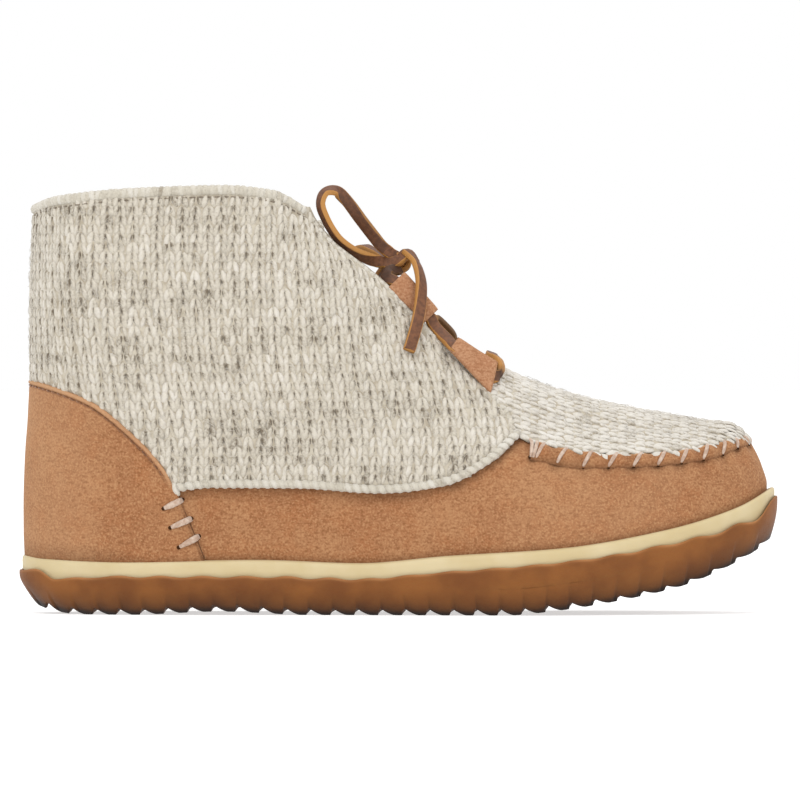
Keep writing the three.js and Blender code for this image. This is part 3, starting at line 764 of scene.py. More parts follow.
def loop_frame(name, side):
    """A lace loop's middle and its directions: along the throat, along its flat side and out of that."""
    x, z, out, slope = LOOPS[name]
    angle = math.radians(slope)
    along = np.array([math.cos(angle), 0, -math.sin(angle)])
    up = np.array([math.sin(angle), 0, math.cos(angle)])
    across = np.array([0, side, 0])
    flat = up * math.cos(LOOP_ROLL) - across * math.sin(LOOP_ROLL)
    facing = up * math.sin(LOOP_ROLL) + across * math.cos(LOOP_ROLL)
    centre = np.array([x, float(CENTRE_LINE(x)) + side * out, z])
    return centre, along, flat, facing


def lace_half(side_name):
    """From the knot down one side through both of its loops, then round into the bar across the foot."""
    side = SIDES[side_name]

    def through(name, shares):
        centre, along, flat, facing = loop_frame(name, side)
        low = centre - flat * LACE_DROP
        return [[tuple(low + along * share * LOOP_LENGTH / 2), tuple(facing)] for share in shares]

    look = (0.3, side * 0.85, 0.4)
    # Painted shade on the inner run between the loops, on the strands by the knot and under the curl into the
    # bar
    run_shade = DEEP_SHADE if side_name == "inner" else PLAIN
    return [
        [(0.2, side * 4.6, 119.8), (-0.3, side * 0.9, 0.3), DEEP_SHADE],
        [(-3.7, side * 8, 118.8), (-0.4, side * 0.9, 0.1), DEEP_SHADE],
        [(-4, side * 10.6, 116.6), (-0.2, side * 0.9, 0.3), DEEP_SHADE],
        *through("upper", (-0.95, 0, 0.95)),
        *[[spot, look, run_shade] for spot in LACE_BETWEEN[side_name]],
        *through("lower", (-0.95, -0.3, 0.3, 0.95, 1.05)),
        [(34.4, side * 18, 83.5), (0.7, side * 0.5, -0.5), DEEP_SHADE],
        [(35.4, side * 16.8, 85.8), (1, side * 0.3, 0.1), RAW],
        [(34.5, side * 14.8, 88), (0.7, side * 0.2, 0.7), RAW],
        [(32.8, side * 11, 89.2), (0.35, 0, 0.95)],
        [(32.2, side * 6, 89.7), (0.35, 0, 0.95)],
        [(32.2, side * -1, 90), (0.35, 0, 0.95)],
    ]


def make_lace_runs():
    """The lace between knot and bar, on both sides."""
    points, faces, values = lace_pieces([lace_strip(lace_half(name), 6) for name in SIDES])
    piece("lace_run_strips", points, faces, LACE, "lace_leather", ["lace_runs"], values)


KNOT_PLACE = np.array([0.0, 0.0, 121.9])
KNOT_RADII = np.array([3.3, 0, 2.7])
# Turns of the knot: lean across the shoe, share of the knot's radii, shift across the shoe
KNOT_TURNS = ((0.6, 1.0, -0.5), (-1.5, 0.8, 1.4), (0.3, 0.36, 0.0))
# From the near loop's lower strand over the knot into the tail, then from its upper strand into the knot
KNOT_STRANDS = [
    [
        [(-5.6, -2.8, 121.8), (0.1, -0.8, 0.6)],
        [(-2.4, -4.0, 121.9), (0.1, -0.9, 0.4)],
        [(0.6, -4.6, 123.2), (-0.3, -0.6, 0.7)],
        [(2.8, -3.8, 125.4), (0.2, -0.4, 0.9)],
        [(5.6, -6.6, 122.6), (0.8, -0.3, 0.5)],
    ],
    [
        [(-4.6, -2.2, 126.6), (0.1, -1, 0.1)],
        [(-2.6, -1.6, 124.9), (0.2, -0.9, 0.3)],
        [(0.4, -1.0, 123.4), (0.3, -0.8, 0.5)],
        [(2.6, -0.2, 121.6), (0.6, -0.6, 0.5)],
    ],
]


def make_lace_knot():
    """Turns of lace drawn tight around the bow's middle, and the two strands of the near loop over them."""
    turns = []
    for lean, swell, shift in KNOT_TURNS:
        rows = []
        for angle in np.linspace(0, 2 * math.pi, 15):
            out = np.array([math.cos(angle), 0, math.sin(angle)])
            aside = np.array([0, shift + lean * math.sin(angle), 0])
            spot = KNOT_PLACE + out * KNOT_RADII * swell + aside
            rows.append([tuple(spot), tuple(out)])
        turns.append(lace_strip(rows, 4))
    turns += [lace_strip(rows, 6) for rows in KNOT_STRANDS]
    points, faces, values = lace_pieces(turns)
    piece("lace_knot_strips", points, faces, LACE, "lace_leather", ["lace_knot"], values)


# How much wider a loop is at its upper end, middle and lower end, and how far its lower end is cut askew
LOOP_FLARE = {"upper": (1.05, 0.95, 0.8), "lower": (0.62, 0.9, 1.28)}
LOOP_SHEAR = {"upper": 0.0, "lower": 0.4}
LOOP_SKIRT = 2.6


def make_lace_loop(name, side_name):
    """A strip of suede folded round the lace, its two ends together at the throat's edge."""
    centre, along, flat, facing = loop_frame(name, SIDES[side_name])
    inner = LACE_THICKNESS / 2 + LOOP_CLEARANCE
    reach = LACE_WIDTH / 2 + LOOP_CLEARANCE
    angle = np.linspace(0, 2 * math.pi, 48, endpoint=False)
    across = np.sign(np.cos(angle)) * np.abs(np.cos(angle)) ** 0.6
    over = np.sign(np.sin(angle)) * np.abs(np.sin(angle)) ** 0.75
    shares = np.linspace(-1, 1, 34)
    flare = cubic([-1, 0, 1], LOOP_FLARE[name], shares)
    lip = 1 - 0.22 * np.abs(shares) ** 14
    rows = {}
    for key, wall in (("out", LOOP_WALL), ("in", 0.0)):
        wide = (reach + wall) * across[None] * (flare if wall else np.minimum(flare, 1))[:, None]
        skirt = LOOP_SKIRT * smooth(0.2, 1, -across)[None] * flare[:, None] * (1 if wall else 0)
        tall = (inner + wall) * over[None] * (lip if wall else np.ones_like(lip))[:, None]
        tall = tall * (1 - 0.35 * smooth(0.3, 1, -across))[None]
        askew = LOOP_SHEAR[name] * smooth(-0.2, 1, shares)[:, None] * (wide - skirt)
        low = 0.0 if wall else LACE_DROP
        rows[key] = (centre + along * (shares[:, None] * LOOP_LENGTH / 2 - askew)[..., None]
                     + flat * (wide - skirt - low)[..., None] + facing * tall[..., None])
    points, faces = shell(rows["out"], rows["in"], wrap=True)
    node = f"lace_loop_{side_name}_{name}"
    piece(node + "_suede", points, faces, TAB_SUEDE, "suede", [node], {"shade": np.zeros(len(points))})


make_lace_runs()
make_lace_knot()
for side_name in SIDES:
    for loop_name in LOOPS:
        make_lace_loop(loop_name, side_name)


# Sole
MIDSOLE_OUTSET = 2.3
OUTSOLE_OUTSET = 3.4
OUTSOLE_FLOOR = 9.0
RIM_STEP_PITCH = 14.6
RIM_STEP_AT = 76
RIM_STEP_DEPTH = 2.9
RIM_WAVE = 0.35
RIM_WAVE_SHIFT = 1.5
LIP_DEPTH = 1.0
LUG_PITCH = 8.25
FIRST_GROOVE_X = -121.5
GROOVE_WIDTH = 2.4
NOTCH_STEEP = 0.6
NOTCH_SLOPE = 5.2
HEEL_NOTCH_DEPTH = 2.5
TOE_NOTCH_DEPTH = 1.5
FLUTE_DEPTH = 0.9
# How far the side draws in from its rim to the floor, at the heel and at the toe
HEEL_TUCK = 6.2
TOE_TUCK = 2.6


def rim_wave(x):
    """The beat of the rim's steps."""
    return np.sin(2 * math.pi * (x - RIM_STEP_AT) / RIM_STEP_PITCH)


def rim_line(x):
    """Height of the rubber's wavy rim."""
    return RIM_BASE(x - RIM_STEP_DEPTH * rim_wave(x)) + RIM_WAVE * rim_wave(x + RIM_WAVE_SHIFT)


def sole_outline(count):
    """Points of the sole's outline and their outward directions, evenly spaced."""
    turns = np.linspace(-math.pi, math.pi, 4001)
    p = last_point(SOLE_LEVEL, turns)
    run = run_along(p[:, :2])
    turn = np.interp(np.linspace(0, run[-1], count, endpoint=False), run, turns)
    step = 0.01
    along = last_point(SOLE_LEVEL, turn + step) - last_point(SOLE_LEVEL, turn - step)
    outward = unit(np.stack([along[:, 1], -along[:, 0], np.zeros(count)], -1))
    return last_point(SOLE_LEVEL, turn), outward


def notch(x):
    """How much of its depth a notch has by X: steep at its back, then a slope down on to the next lug."""
    past = (x - FIRST_GROOVE_X + GROOVE_WIDTH / 2) % LUG_PITCH
    slope = np.clip(1 - (past - NOTCH_STEEP) / NOTCH_SLOPE, 0, 1) ** 1.5
    return smooth(0, NOTCH_STEEP, past) * slope


def notch_depth(x):
    """Depth of the notches between the lugs, less at the toe."""
    return lerp(HEEL_NOTCH_DEPTH, TOE_NOTCH_DEPTH, smooth(40, 110, x))


def make_outsole():
    """Gum rubber cup: a wavy rim, rounded fluted sides and a tread of cross lugs, drawn ring by ring."""
    outline, outward = sole_outline(1120)
    rows, shade, edge = [], [], []

    def ring_at(outset, height_at, worn):
        p = outline + outward * outset
        p[:, 2] = height_at(p[:, 0])
        rows.append(p)
        shade.append(np.zeros(len(p)))
        # Painted highlight along the rim's top edge, strongest where the rim's wave stands out
        edge.append(worn * (0.7 + 0.3 * rim_wave(p[:, 0])))

    inside = MIDSOLE_OUTSET + GAP
    ring_at(inside, lambda x: FLOOR_LINE(x) + OUTSOLE_FLOOR, 0.0)
    lip = (  # drop from the rim, outset from the last, how pale its edge is painted as a highlight
        (2.0, inside, 0.0),
        (0.25, inside + 0.05, 0.4),
        (0.0, inside + 0.3, 1.0),
        (0.05, inside + 0.6, 1.0),
        (0.4, OUTSOLE_OUTSET - 0.02, 0.7),
        (LIP_DEPTH, OUTSOLE_OUTSET, 0.1),
    )
    for drop, outset, worn in lip:
        ring_at(outset, lambda x, d=drop: rim_line(x) - d, worn)
    x = (outline + outward * OUTSOLE_OUTSET)[:, 0]
    tuck = lerp(HEEL_TUCK, TOE_TUCK, smooth(70, 118, x))
    top = rim_line(x) - LIP_DEPTH
    for share in np.linspace(0, 1, 25)[1:]:
        flute = notch(x) * smooth(0.3, 0.9, share)
        p = outline + outward * (OUTSOLE_OUTSET - tuck * share ** 2.4 - FLUTE_DEPTH * flute)[:, None]
        floor = FLOOR_LINE(p[:, 0])
        height = np.maximum((top - floor) * (1 - share), notch_depth(p[:, 0]) * notch(p[:, 0]))
        p[:, 2] = floor + height
        rows.append(p)
        # Painted shade in the flutes; the side also darkens towards the floor
        dark = 0.28 * (1 - smooth(3, 10, height)) + 0.3 * (1 - smooth(1, 5, height)) + 0.2 * flute
        shade.append(np.minimum(dark + 0.45 * (1 - smooth(0, 2.6, height)), 1.0))
        edge.append(np.zeros(len(p)))
    foot = rows[-1]
    other = foot[(-np.arange(len(foot))) % len(foot)]
    # The tread: straight lines across from one side to the other
    for share in (0.05, 0.2, 0.36):
        p = lerp(foot, other, share)
        p[:, 2] = FLOOR_LINE(p[:, 0]) + notch_depth(p[:, 0]) * notch(p[:, 0])
        rows.append(p)
        # Painted shade in the tread's notches
        shade.append(0.35 + 0.4 * notch(p[:, 0]))
        edge.append(np.zeros(len(p)))
    points, faces = closed_rings(rows)
    values = {"shade": np.concatenate(shade), "edge": np.concatenate(edge)}
    piece("outsole_rubber", points, faces, RUBBER, "gum_rubber", ["outsole"], values)


def closed_rings(rows):
    """Rings around the sole with the first and last closed across."""
    rows = np.stack(rows)
    steps, cols = rows.shape[:2]
    faces = grid_faces(steps, cols, True).tolist()
    for start, flip in (((steps - 1) * cols, False), (0, True)):
        for i in range(cols // 2):
            corners = [start + k for k in (i, i + 1, (-i - 1) % cols, (-i) % cols)]
            corners = [k for n, k in enumerate(corners) if k not in corners[:n]]
            if len(corners) > 2:
                faces.append(corners[::-1] if flip else corners)
    return rows.reshape(-1, 3), faces


# Rings of the midsole's side, going up: height over the sole line, outset from the last and shade
MIDSOLE_SIDE = (
    (-4.0, 2.3, 0.0), (-2.2, 2.35, 0.0), (-1.3, 2.3, 0.0), (-0.75, 2.12, 0.0), (-0.35, 1.75, 0.05),
    (-0.1, 1.3, 0.1), (0.0, 0.6, 0.4), (-0.05, -1.5, 0.8),
)
# The upper hidden ring stays this far under the sole line and the rubber's rim
UNDER_SOLE_LINE = 4.3
UNDER_RIM = 0.6


def make_midsole():
    """Cream foam: two rings hidden in the rubber cup, then a side with a rounded upper edge."""
    outline, outward = sole_outline(720)
    low = outline + outward * MIDSOLE_OUTSET
    x = low[:, 0]
    low[:, 2] = FLOOR_LINE(x) + OUTSOLE_FLOOR + GAP
    hidden = low.copy()
    top = np.minimum(rim_line(x) - UNDER_RIM, SOLE_LINE(x) - UNDER_SOLE_LINE)
    hidden[:, 2] = np.maximum(top, low[:, 2] + 0.2)
    rows, shade = [low, hidden], [0.5, 0.3]
    for rise, outset, dark in MIDSOLE_SIDE:
        p = outline + outward * outset
        p[:, 2] = SOLE_LINE(p[:, 0]) + rise
        rows.append(p)
        shade.append(dark)
    points, faces = closed_rings(rows)
    piece("midsole_foam", points, faces, FOAM, "foam", ["midsole"], {"shade": np.repeat(shade, len(outline))})


INSOLE_THICKNESS = 5.0
INSOLE_DISH = 0.9


def make_insole():
    """A cupped footbed pad inside the wall."""
    turn = np.linspace(-math.pi, math.pi, 361)[:-1]
    base = level_where(turn, lambda x: SOLE_LINE(x) + GAP)
    inset = -WALL - GAP
    bottom = place(base, turn, inset)
    top_level = level_where(turn, lambda x: SOLE_LINE(x) + GAP + INSOLE_THICKNESS)
    top = place(top_level, turn, inset)
    middle = (bottom + bottom[(-np.arange(len(turn))) % len(turn)]) / 2
    rows = [bottom, lerp(bottom, top, 0.8)]
    for share in (0.01, 0.04, 0.09, 0.16, 0.26, 0.4, 0.6, 0.8, 0.95):
        p = lerp(top, middle, share)
        p[:, 2] = SOLE_LINE(p[:, 0]) + GAP + INSOLE_THICKNESS - INSOLE_DISH * smooth(0, 0.4, share)
        rows.append(p)
    points, faces = closed_rings(rows)
    piece("insole_pad", points, faces, LINING, "lining", ["insole"])


make_outsole()
make_midsole()
make_insole()


# Upper
def edge_distance(points, edge):
    """Distance from each point to the nearest of an edge's points."""
    flat = points.reshape(-1, 3)
    found = np.full(len(flat), np.inf)
    for start in range(0, len(flat), 4000):
        part = flat[start:start + 4000]
        gap = np.linalg.norm(part[:, None] - edge[None], axis=-1)
        found[start:start + 4000] = gap.min(1)
    return found.reshape(points.shape[:-1])


def rounded(distance, radius):
    """Height share of an edge that is rounded off over this radius."""
    t = np.clip(distance / radius, 0, 1)
    return np.sqrt(np.clip(1 - (1 - t) ** 2, 0, 1))


def seam_path(line, from_x, count=900):
    """Level and unwrapped turn along a seam line, from the outer side round the toe to the inner side."""
    turn = np.concatenate([np.linspace(1.2, math.pi, 1500), np.linspace(-math.pi, -1.2, 1500)[1:]])
    level = level_where(turn, line)
    p = last_point(level, turn)
    keep = p[:, 0] >= from_x
    turn, level, p = np.where(turn < 0, turn + 2 * math.pi, turn)[keep], level[keep], p[keep]
    run = run_along(p)
    at = np.linspace(0, run[-1], count)
    return np.interp(at, run, level), np.interp(at, run, turn), run[-1]


WHIP_PITCH = 9.3
HOLE_LEVEL, HOLE_TURN, HOLE_RUN = seam_path(SEAM_HOLES, 45.3)
LIP_LEVEL, LIP_TURN, LIP_RUN = seam_path(SEAM_EDGE, SEAM_FROM_X)
SEAM_SHARE = np.linspace(0, 1, len(HOLE_TURN))
WHIP_COUNT = int(round(HOLE_RUN / WHIP_PITCH)) + 1


def wrap_turn(turn):
    """The same turn between half a turn back and half a turn on."""
    return (np.asarray(turn) + math.pi) % (2 * math.pi) - math.pi


def pucker(share):
    """1 at each whip stitch and 0 between, by the share of the way along the seam."""
    return 0.5 + 0.5 * np.cos(2 * math.pi * share * (WHIP_COUNT - 1))


# The wall stops this far under the collar's top, inside its roll
ROLL_DROP = 1.4
# Creases at the ball: way along the foot, lift, width
CREASES = ((0, -0.5, 3.2), (6.5, 0.3, 3.6), (13, -0.3, 3))
CREASE_FROM_X = 52
CREASE_HEIGHT = 38
CREASE_SLANT = 0.55


def make_upper():
    """The suede wall, with its gathers under the moccasin seam and soft creases at the ball."""
    turn = np.linspace(-math.pi, math.pi, 481)[:-1]
    start = level_where(turn, lambda x: SOLE_LINE(x) - TUCKED)
    stop = exit_level(turn, start, lambda p: above_collar(p + [0, 0, ROLL_DROP]) | in_slit(p))
    share = np.linspace(0, 1, 52)[:, None] ** 1.35
    level = lerp(start, stop, share)
    p = last_point(level, np.broadcast_to(turn, level.shape))
    x, z = p[..., 0], p[..., 2]
    seam = last_point(HOLE_LEVEL, wrap_turn(HOLE_TURN))[::3]
    near = (np.abs(z - SEAM_HOLES(x)) < 14) & (x > SEAM_FROM_X - 6)
    distance = np.full(x.shape, 99.0)
    gather = np.zeros(x.shape)
    gap = np.linalg.norm(p[near][:, None] - seam[None], axis=-1)
    distance[near] = gap.min(1)
    gather[near] = pucker(SEAM_SHARE[::3][gap.argmin(1)])
    below = z < SEAM_HOLES(x) + 0.5
    drawn_in = -0.8 * gather * np.exp(-distance / 2.4)
    swollen = 0.4 * (1 - gather) * np.exp(-distance / 4.5)
    lift = np.where(below, drawn_in + swollen, 0)
    lean = (x - CREASE_FROM_X) + CREASE_SLANT * (z - CREASE_HEIGHT)
    creases = sum(height * bell(lean, middle, width) for middle, height, width in CREASES)
    lift = lift + bell(z, 40, 11) * creases
    lift = lift - 0.3 * bell(z, SOLE_LINE(x) + 0.5, 1.6)
    outer = place(level, turn, lift)
    inner = place(level, turn, -SUEDE_THICKNESS)
    points, faces = shell(outer, inner, wrap=True)
    # Painted shade along the sole line, in the gathers and along the seam's holes, and a painted shadow under
    # the knit's hem; paler over the vamp
    dark = 0.3 * bell(z, SOLE_LINE(x), 1.4) + 0.22 * gather * np.exp(-distance / 1.8)
    dark = dark + 0.25 * bell(distance, 0, 0.8)
    dark = dark + np.where((x > CORNER_X) & (x < 42), 0.65 * bell(z, HEM(x) - 0.5, 1.7), 0)
    worn = 0.1 * smooth(20, 60, x) * (1 - smooth(88, 108, x))
    values = on_front(shade=np.clip(dark, 0, 0.6), worn=worn)
    piece("upper_suede", points, faces, SUEDE, "suede", ["upper"], values)
    turn, level = turn[::2], lerp(start, stop, np.linspace(0, 1, 27)[:, None] ** 1.2)[:, ::2]
    lined = shell(place(level, turn, -SUEDE_THICKNESS - 0.05), place(level, turn, -WALL), wrap=True)
    piece("upper_lining", *lined, LINING, "lining")


COUNTER_TURN = 1.35  # how far round from the back the counter is looked for


def make_heel_counter():
    """Suede laid over the heel, with a folded and stitched upper edge."""
    turn = np.linspace(-COUNTER_TURN, COUNTER_TURN, 330)
    start = level_where(turn, lambda x: SOLE_LINE(x) - TUCKED)

    def outside(p):
        return (p[..., 2] > COUNTER_EDGE(p[..., 0])) | (p[..., 0] > COUNTER_FOOT(p[..., 2]))

    stop = exit_level(turn, start, outside)
    keep = stop > start + 1e-6
    turn, start, stop = turn[keep], start[keep], stop[keep]
    level = lerp(start, stop, np.linspace(0, 1, 56)[:, None] ** 0.62)
    p = last_point(level, np.broadcast_to(turn, level.shape))
    distance = edge_distance(p, last_point(stop, turn))
    folded = smooth(43, 47, p[..., 2])
    lift = GAP * 0.3 + LAYER * rounded(distance, 1.3)
    lift += folded * (0.35 * bell(distance, 1.0, 0.8) - 0.4 * bell(distance, 2.1, 0.45))
    lift -= (1 - folded) * 0.3 * bell(distance, 1.2, 1)
    lift -= 0.3 * bell(p[..., 2], SOLE_LINE(p[..., 0]) + 0.5, 1.6)
    points, faces = shell(place(level, turn, lift), place(level, turn, 0.05))
    # Painted shade in the folded edge's stitch groove and along the sole line, and a dark line along the
    # counter's lower front edge; paler on the folded edge and towards the back
    dark = folded * 0.3 * bell(distance, 2.1, 0.5) + 0.3 * bell(p[..., 2], SOLE_LINE(p[..., 0]), 1.4)
    dark += (1 - smooth(31, 43, p[..., 2])) * 0.95 * bell(distance, 0.0, 1.15)
    worn = folded * 0.55 * bell(distance, 0.7, 0.8) + 0.16 * (1 - smooth(-118, -95, p[..., 0]))
    values = on_front(shade=np.clip(dark, 0, 1), worn=worn)
    piece("counter_suede", points, faces, SUEDE, "suede", ["heel_counter"], values)


make_upper()
make_heel_counter()


# Knit
class Chart:
    """A cloth's own coordinates on the last: a across its wales and b along them, in millimetres."""

    def __init__(self, a, b, level, turn):
        self.a, self.b = a, b
        self.points = last_point(level, turn)
        self.normals = last_normal(level, turn)

    def at(self, a, b, lift):
        """Points lifted off the last at these places of the cloth, and the normals there."""
        a, b = np.broadcast_arrays(np.asarray(a, float), np.asarray(b, float))
        i = np.clip((a - self.a[0]) / (self.a[1] - self.a[0]), 0, len(self.a) - 1.001)
        j = np.clip((b - self.b[0]) / (self.b[1] - self.b[0]), 0, len(self.b) - 1.001)
        i0, j0 = i.astype(int), j.astype(int)
        fi, fj = (i - i0)[..., None], (j - j0)[..., None]

        def read(table):
            low = lerp(table[j0, i0], table[j0, i0 + 1], fi)
            return lerp(low, lerp(table[j0 + 1, i0], table[j0 + 1, i0 + 1], fi), fj)

        normal = unit(read(self.normals))
        return read(self.points) + normal * np.broadcast_to(lift, a.shape)[..., None], normal


def side_chart(side):
    """Wales upright on one side of the ankle: a is the way round from the back, b the height."""
    levels = np.linspace(1.3, TOP_LEVEL, 240)
    turns = np.linspace(0, math.pi * 0.985, 500)
    p = last_point(levels[:, None], turns[None] * -side)
    a = np.arange(0, 232, 1.0)
    turn_of = np.stack([np.interp(a, run_along(row), turns) for row in p])
    height = last_point(levels[:, None], turn_of * -side)[..., 2]
    b = np.arange(34, 152, 1.0)
    level, turn = np.empty((len(b), len(a))), np.empty((len(b), len(a)))
    for k in range(len(a)):
        level[:, k] = np.interp(b, height[:, k], levels)
        turn[:, k] = np.interp(level[:, k], levels, turn_of[:, k])
    return Chart(a, b, level, turn * -side)


def ridge_chart(from_x, to_x):
    """Wales along the foot: a is the way round from the ridge (outer side negative), b the way along it."""
    levels = np.linspace(2, TOP_LEVEL, 800)
    fronts = ring("front_x", levels)
    ridge_x = np.linspace(from_x, to_x, 400)
    ridge_level = np.interp(-ridge_x, -fronts, levels)
    ridge = last_point(ridge_level, np.full_like(ridge_level, math.pi))
    run = run_along(ridge)
    b = np.arange(0, run[-1], 1.0)
    station = np.interp(b, run, ridge_x)
    a = np.arange(-52, 53, 1.0)
    level, turn = np.empty((len(b), len(a))), np.empty((len(b), len(a)))
    for k, x in enumerate(station):
        top = float(np.interp(-x, -fronts, levels))
        down = top - (top - 1.2) * np.linspace(0, 1, 220) ** 2
        back, front = ring("back_x", down), ring("front_x", down)
        t = np.clip((x - back) / (front - back), 0, 1)
        angle = np.arccos(1 - 2 * t)
        for side in (-1, 1):
            p = last_point(down, angle * -side)
            way = run_along(p)
            mine = a >= 0 if side > 0 else a < 0
            level[k, mine] = np.interp(np.abs(a[mine]), way, down)
            turn[k, mine] = np.interp(np.abs(a[mine]), way, angle) * -side
    return Chart(a, b, level, turn)


# A stitch is a pair of legs, close at its head and apart at its foot: how far each lies from the middle at
# the head and how much further at the foot, in shares of a wale, then where the head lies from the
# stitch's middle and how long the legs are, in shares of a course
LEG_MEET = 0.07
LEG_SPREAD = 0.38
LEG_START = 0.7
LEG_LENGTH = 1.42
LEG_STEPS = 6
LEG_CORNERS = 6
LEG_ANGLES = np.arange(LEG_CORNERS) * 2 * math.pi / LEG_CORNERS
FUZZ_LIFT = 1.5
FUZZ_STEPS = 5
FUZZ_CORNERS = 3


def leg_places(q, count):
    """For each corner of many legs, the angle round its leg and the share of the way along it."""
    return {"around": np.tile(LEG_ANGLES, len(q) * count), "along": np.tile(np.repeat(q, LEG_CORNERS), count)}


def fuzz(name, chart, keep, seed, count, material):
    """Loose fibres that stand off a knit."""
    rng = np.random.default_rng(seed)
    a = rng.uniform(chart.a[0], chart.a[-1], count * 4)
    b = rng.uniform(chart.b[0], chart.b[-1], count * 4)
    kept = keep(chart.at(a, b, FUZZ_LIFT)[0])
    a, b = a[kept][:count], b[kept][:count]
    heading = rng.uniform(0, 2 * math.pi, (len(a), 1))
    bend = rng.normal(0, 1.3, (len(a), 1))
    length = rng.uniform(2.0, 5.0, (len(a), 1))
    q = np.linspace(0, 1, FUZZ_STEPS)
    angle = heading + bend * q
    step = length / (FUZZ_STEPS - 1)
    way_a = a[:, None] + np.cumsum(np.cos(angle) * step, 1) - np.cos(heading) * step
    way_b = b[:, None] + np.cumsum(np.sin(angle) * step, 1) - np.sin(heading) * step
    height = FUZZ_LIFT + rng.uniform(0.1, 0.8, (len(a), 1)) * np.sin(math.pi * q * 0.75)
    paths, ups = chart.at(way_a, way_b, height)
    points, faces = tubes_along(paths, ups, rng.uniform(0.05, 0.085, len(a)), 1.0, FUZZ_CORNERS, 0.3)
    shade = np.repeat(rng.uniform(0.4, 1.0, len(a)), FUZZ_STEPS * FUZZ_CORNERS)
    piece(name, points, faces, material, "knit", (), {"shade": shade})


def soft_noise(rng, rows, cols, blur):
    """Random numbers smoothed along each row, as the shade of a marled yarn runs."""
    raw = rng.random((rows, cols + 2 * blur))
    total = np.cumsum(raw, axis=1)
    flat = (total[:, 2 * blur:] - total[:, :-2 * blur]) / (2 * blur)
    return 0.5 + (flat[:, :cols] - 0.5) * math.sqrt(2 * blur) * 0.9


def knit(name, chart, keep, seed, lift=1.25, leg=1.02, plump=0.6, material=YARN, sink=None):
    """Stockinette: two soft legs of yarn a stitch, over a chart, where keep says so; sink lowers them."""
    rng = np.random.default_rng(seed)
    a = np.arange(chart.a[0] + WALE / 2, chart.a[-1] - WALE / 2, WALE)
    b = np.arange(chart.b[0] + COURSE, chart.b[-1] - COURSE, COURSE)
    all_a, all_b = np.meshgrid(a, b)
    marl = soft_noise(rng, *all_a.shape, 3)
    all_shade = 0.54 + 0.16 * (marl - 0.5) + 0.3 * (rng.random(all_a.shape) - 0.5)
    q = np.linspace(0, 1, LEG_STEPS)
    facing = np.cos(LEG_ANGLES)
    legs = []
    for side in (-1, 1):
        middle, _ = chart.at(all_a + side * 0.26 * WALE, all_b, lift)
        kept = keep(middle)
        cell_a, cell_b, shade = all_a[kept], all_b[kept], all_shade[kept]
        base = lift - (sink(middle[kept])[:, None] if sink else 0.0)
        count = len(cell_a)
        push = rng.normal(0, 0.07, (count, 2))
        fat = 1 + rng.normal(0, 0.13, (count, 1))
        way_a = cell_a[:, None] + WALE * (side * (LEG_MEET + LEG_SPREAD * q ** 0.9) + push[:, :1])
        way_b = cell_b[:, None] + COURSE * (LEG_START - LEG_LENGTH * q + push[:, 1:])
        rise = base - 0.45 + 0.55 * np.sin(math.pi * q ** 0.8) ** 0.8 - 0.2 * q
        paths, ups = chart.at(way_a, way_b, np.broadcast_to(rise, way_a.shape))
        tangents = unit(np.gradient(paths, axis=1))
        across = unit(np.cross(tangents, ups))
        half = leg * fat * np.clip(np.sin(math.pi * (0.12 + 0.76 * q)), 0, 1) ** 0.5
        points, faces = tubes(paths, across, np.cross(across, tangents), half, half * plump, LEG_CORNERS)
        ahead = chart.at(cell_a + 1, cell_b, lift)[0] - chart.at(cell_a, cell_b, lift)[0]
        inward = -side * np.sign(np.sum(across[:, 2] * ahead, -1))[:, None, None] * facing
        # Painted shade: dark dots where the yarn goes in between legs, inside each stitch near its head and
        # between wales at its foot
        dot_shade = bell(q, 0.16, 0.27)[:, None] * np.clip(inward, 0, 1)
        dot_shade = dot_shade + 0.7 * bell(q, 1, 0.26)[:, None] * np.clip(-inward, 0, 1)
        mine = ((shade + rng.normal(0, 0.08, count))[:, None, None] - dot_shade).ravel()
        legs.append((points, faces, {"shade": mine, **leg_places(q, count)}))
    points, faces = joined([made[:2] for made in legs])
    values = {key: np.concatenate([made[2][key] for made in legs]) for key in ("shade", "around", "along")}
    piece(name, points, faces, material, "knit", (), values)


def quarter_backing(chart):
    """The cloth under the stitches of one side."""
    a = np.linspace(0, chart.a[-1], 150)
    b = np.linspace(chart.b[0], chart.b[-1], 420)
    p, _ = chart.at(a[:, None], b[None], 0.0)
    x, z = p[..., 0], p[..., 2]
    inside = (z > quarter_foot(x) - 0.3) & ~above_collar(p) & ~in_throat(p) & (x < HEM.xs[-1])
    keep = inside.sum(1) > 1
    low = b[np.argmax(inside, 1)][keep]
    high = b[len(b) - 1 - np.argmax(inside[:, ::-1], 1)][keep]
    rows = lerp(low, high, np.linspace(0, 1, 40)[:, None])
    outer, _ = chart.at(a[keep][None], rows, GAP + 0.95)
    inner, _ = chart.at(a[keep][None], rows, 0.1)
    return shell(outer, inner)


UNDER_COUNTER = 2.2
OVER_HEM = 1.95
UNDER_COLLAR = 2.8
QUARTER_FRONT_X = 41


def in_quarter(p):
    """Where the ankle's stitches lie: in a little under the counter and up to the hem and the collar."""
    x, z = p[..., 0], p[..., 2]
    foot = quarter_foot(x) + np.where(x < CORNER_X, -UNDER_COUNTER, OVER_HEM)
    throat = np.where(z > THROAT_EDGE.xs[0], THROAT_EDGE(z) - 1.0, QUARTER_FRONT_X)
    return (z > foot) & (z < COLLAR_TOP(x) - UNDER_COLLAR) & (x < QUARTER_FRONT_X) & (x < throat)


def in_open_knit(p):
    """Where loose fibres may stand: clear of the counter's edge and the collar."""
    x, z = p[..., 0], p[..., 2]
    return in_quarter(p) & (z > quarter_foot(x) + 4.5) & (z < COLLAR_TOP(x) - 7)


def under_counter(p):
    """How far the stitches go down under the counter's edge."""
    x, z = p[..., 0], p[..., 2]
    return np.where(x < CORNER_X, 0.9 * (1 - smooth(-UNDER_COUNTER, 0.4, z - COUNTER_EDGE(x))), 0)


CHARTS = {name: side_chart(side) for name, side in SIDES.items()}


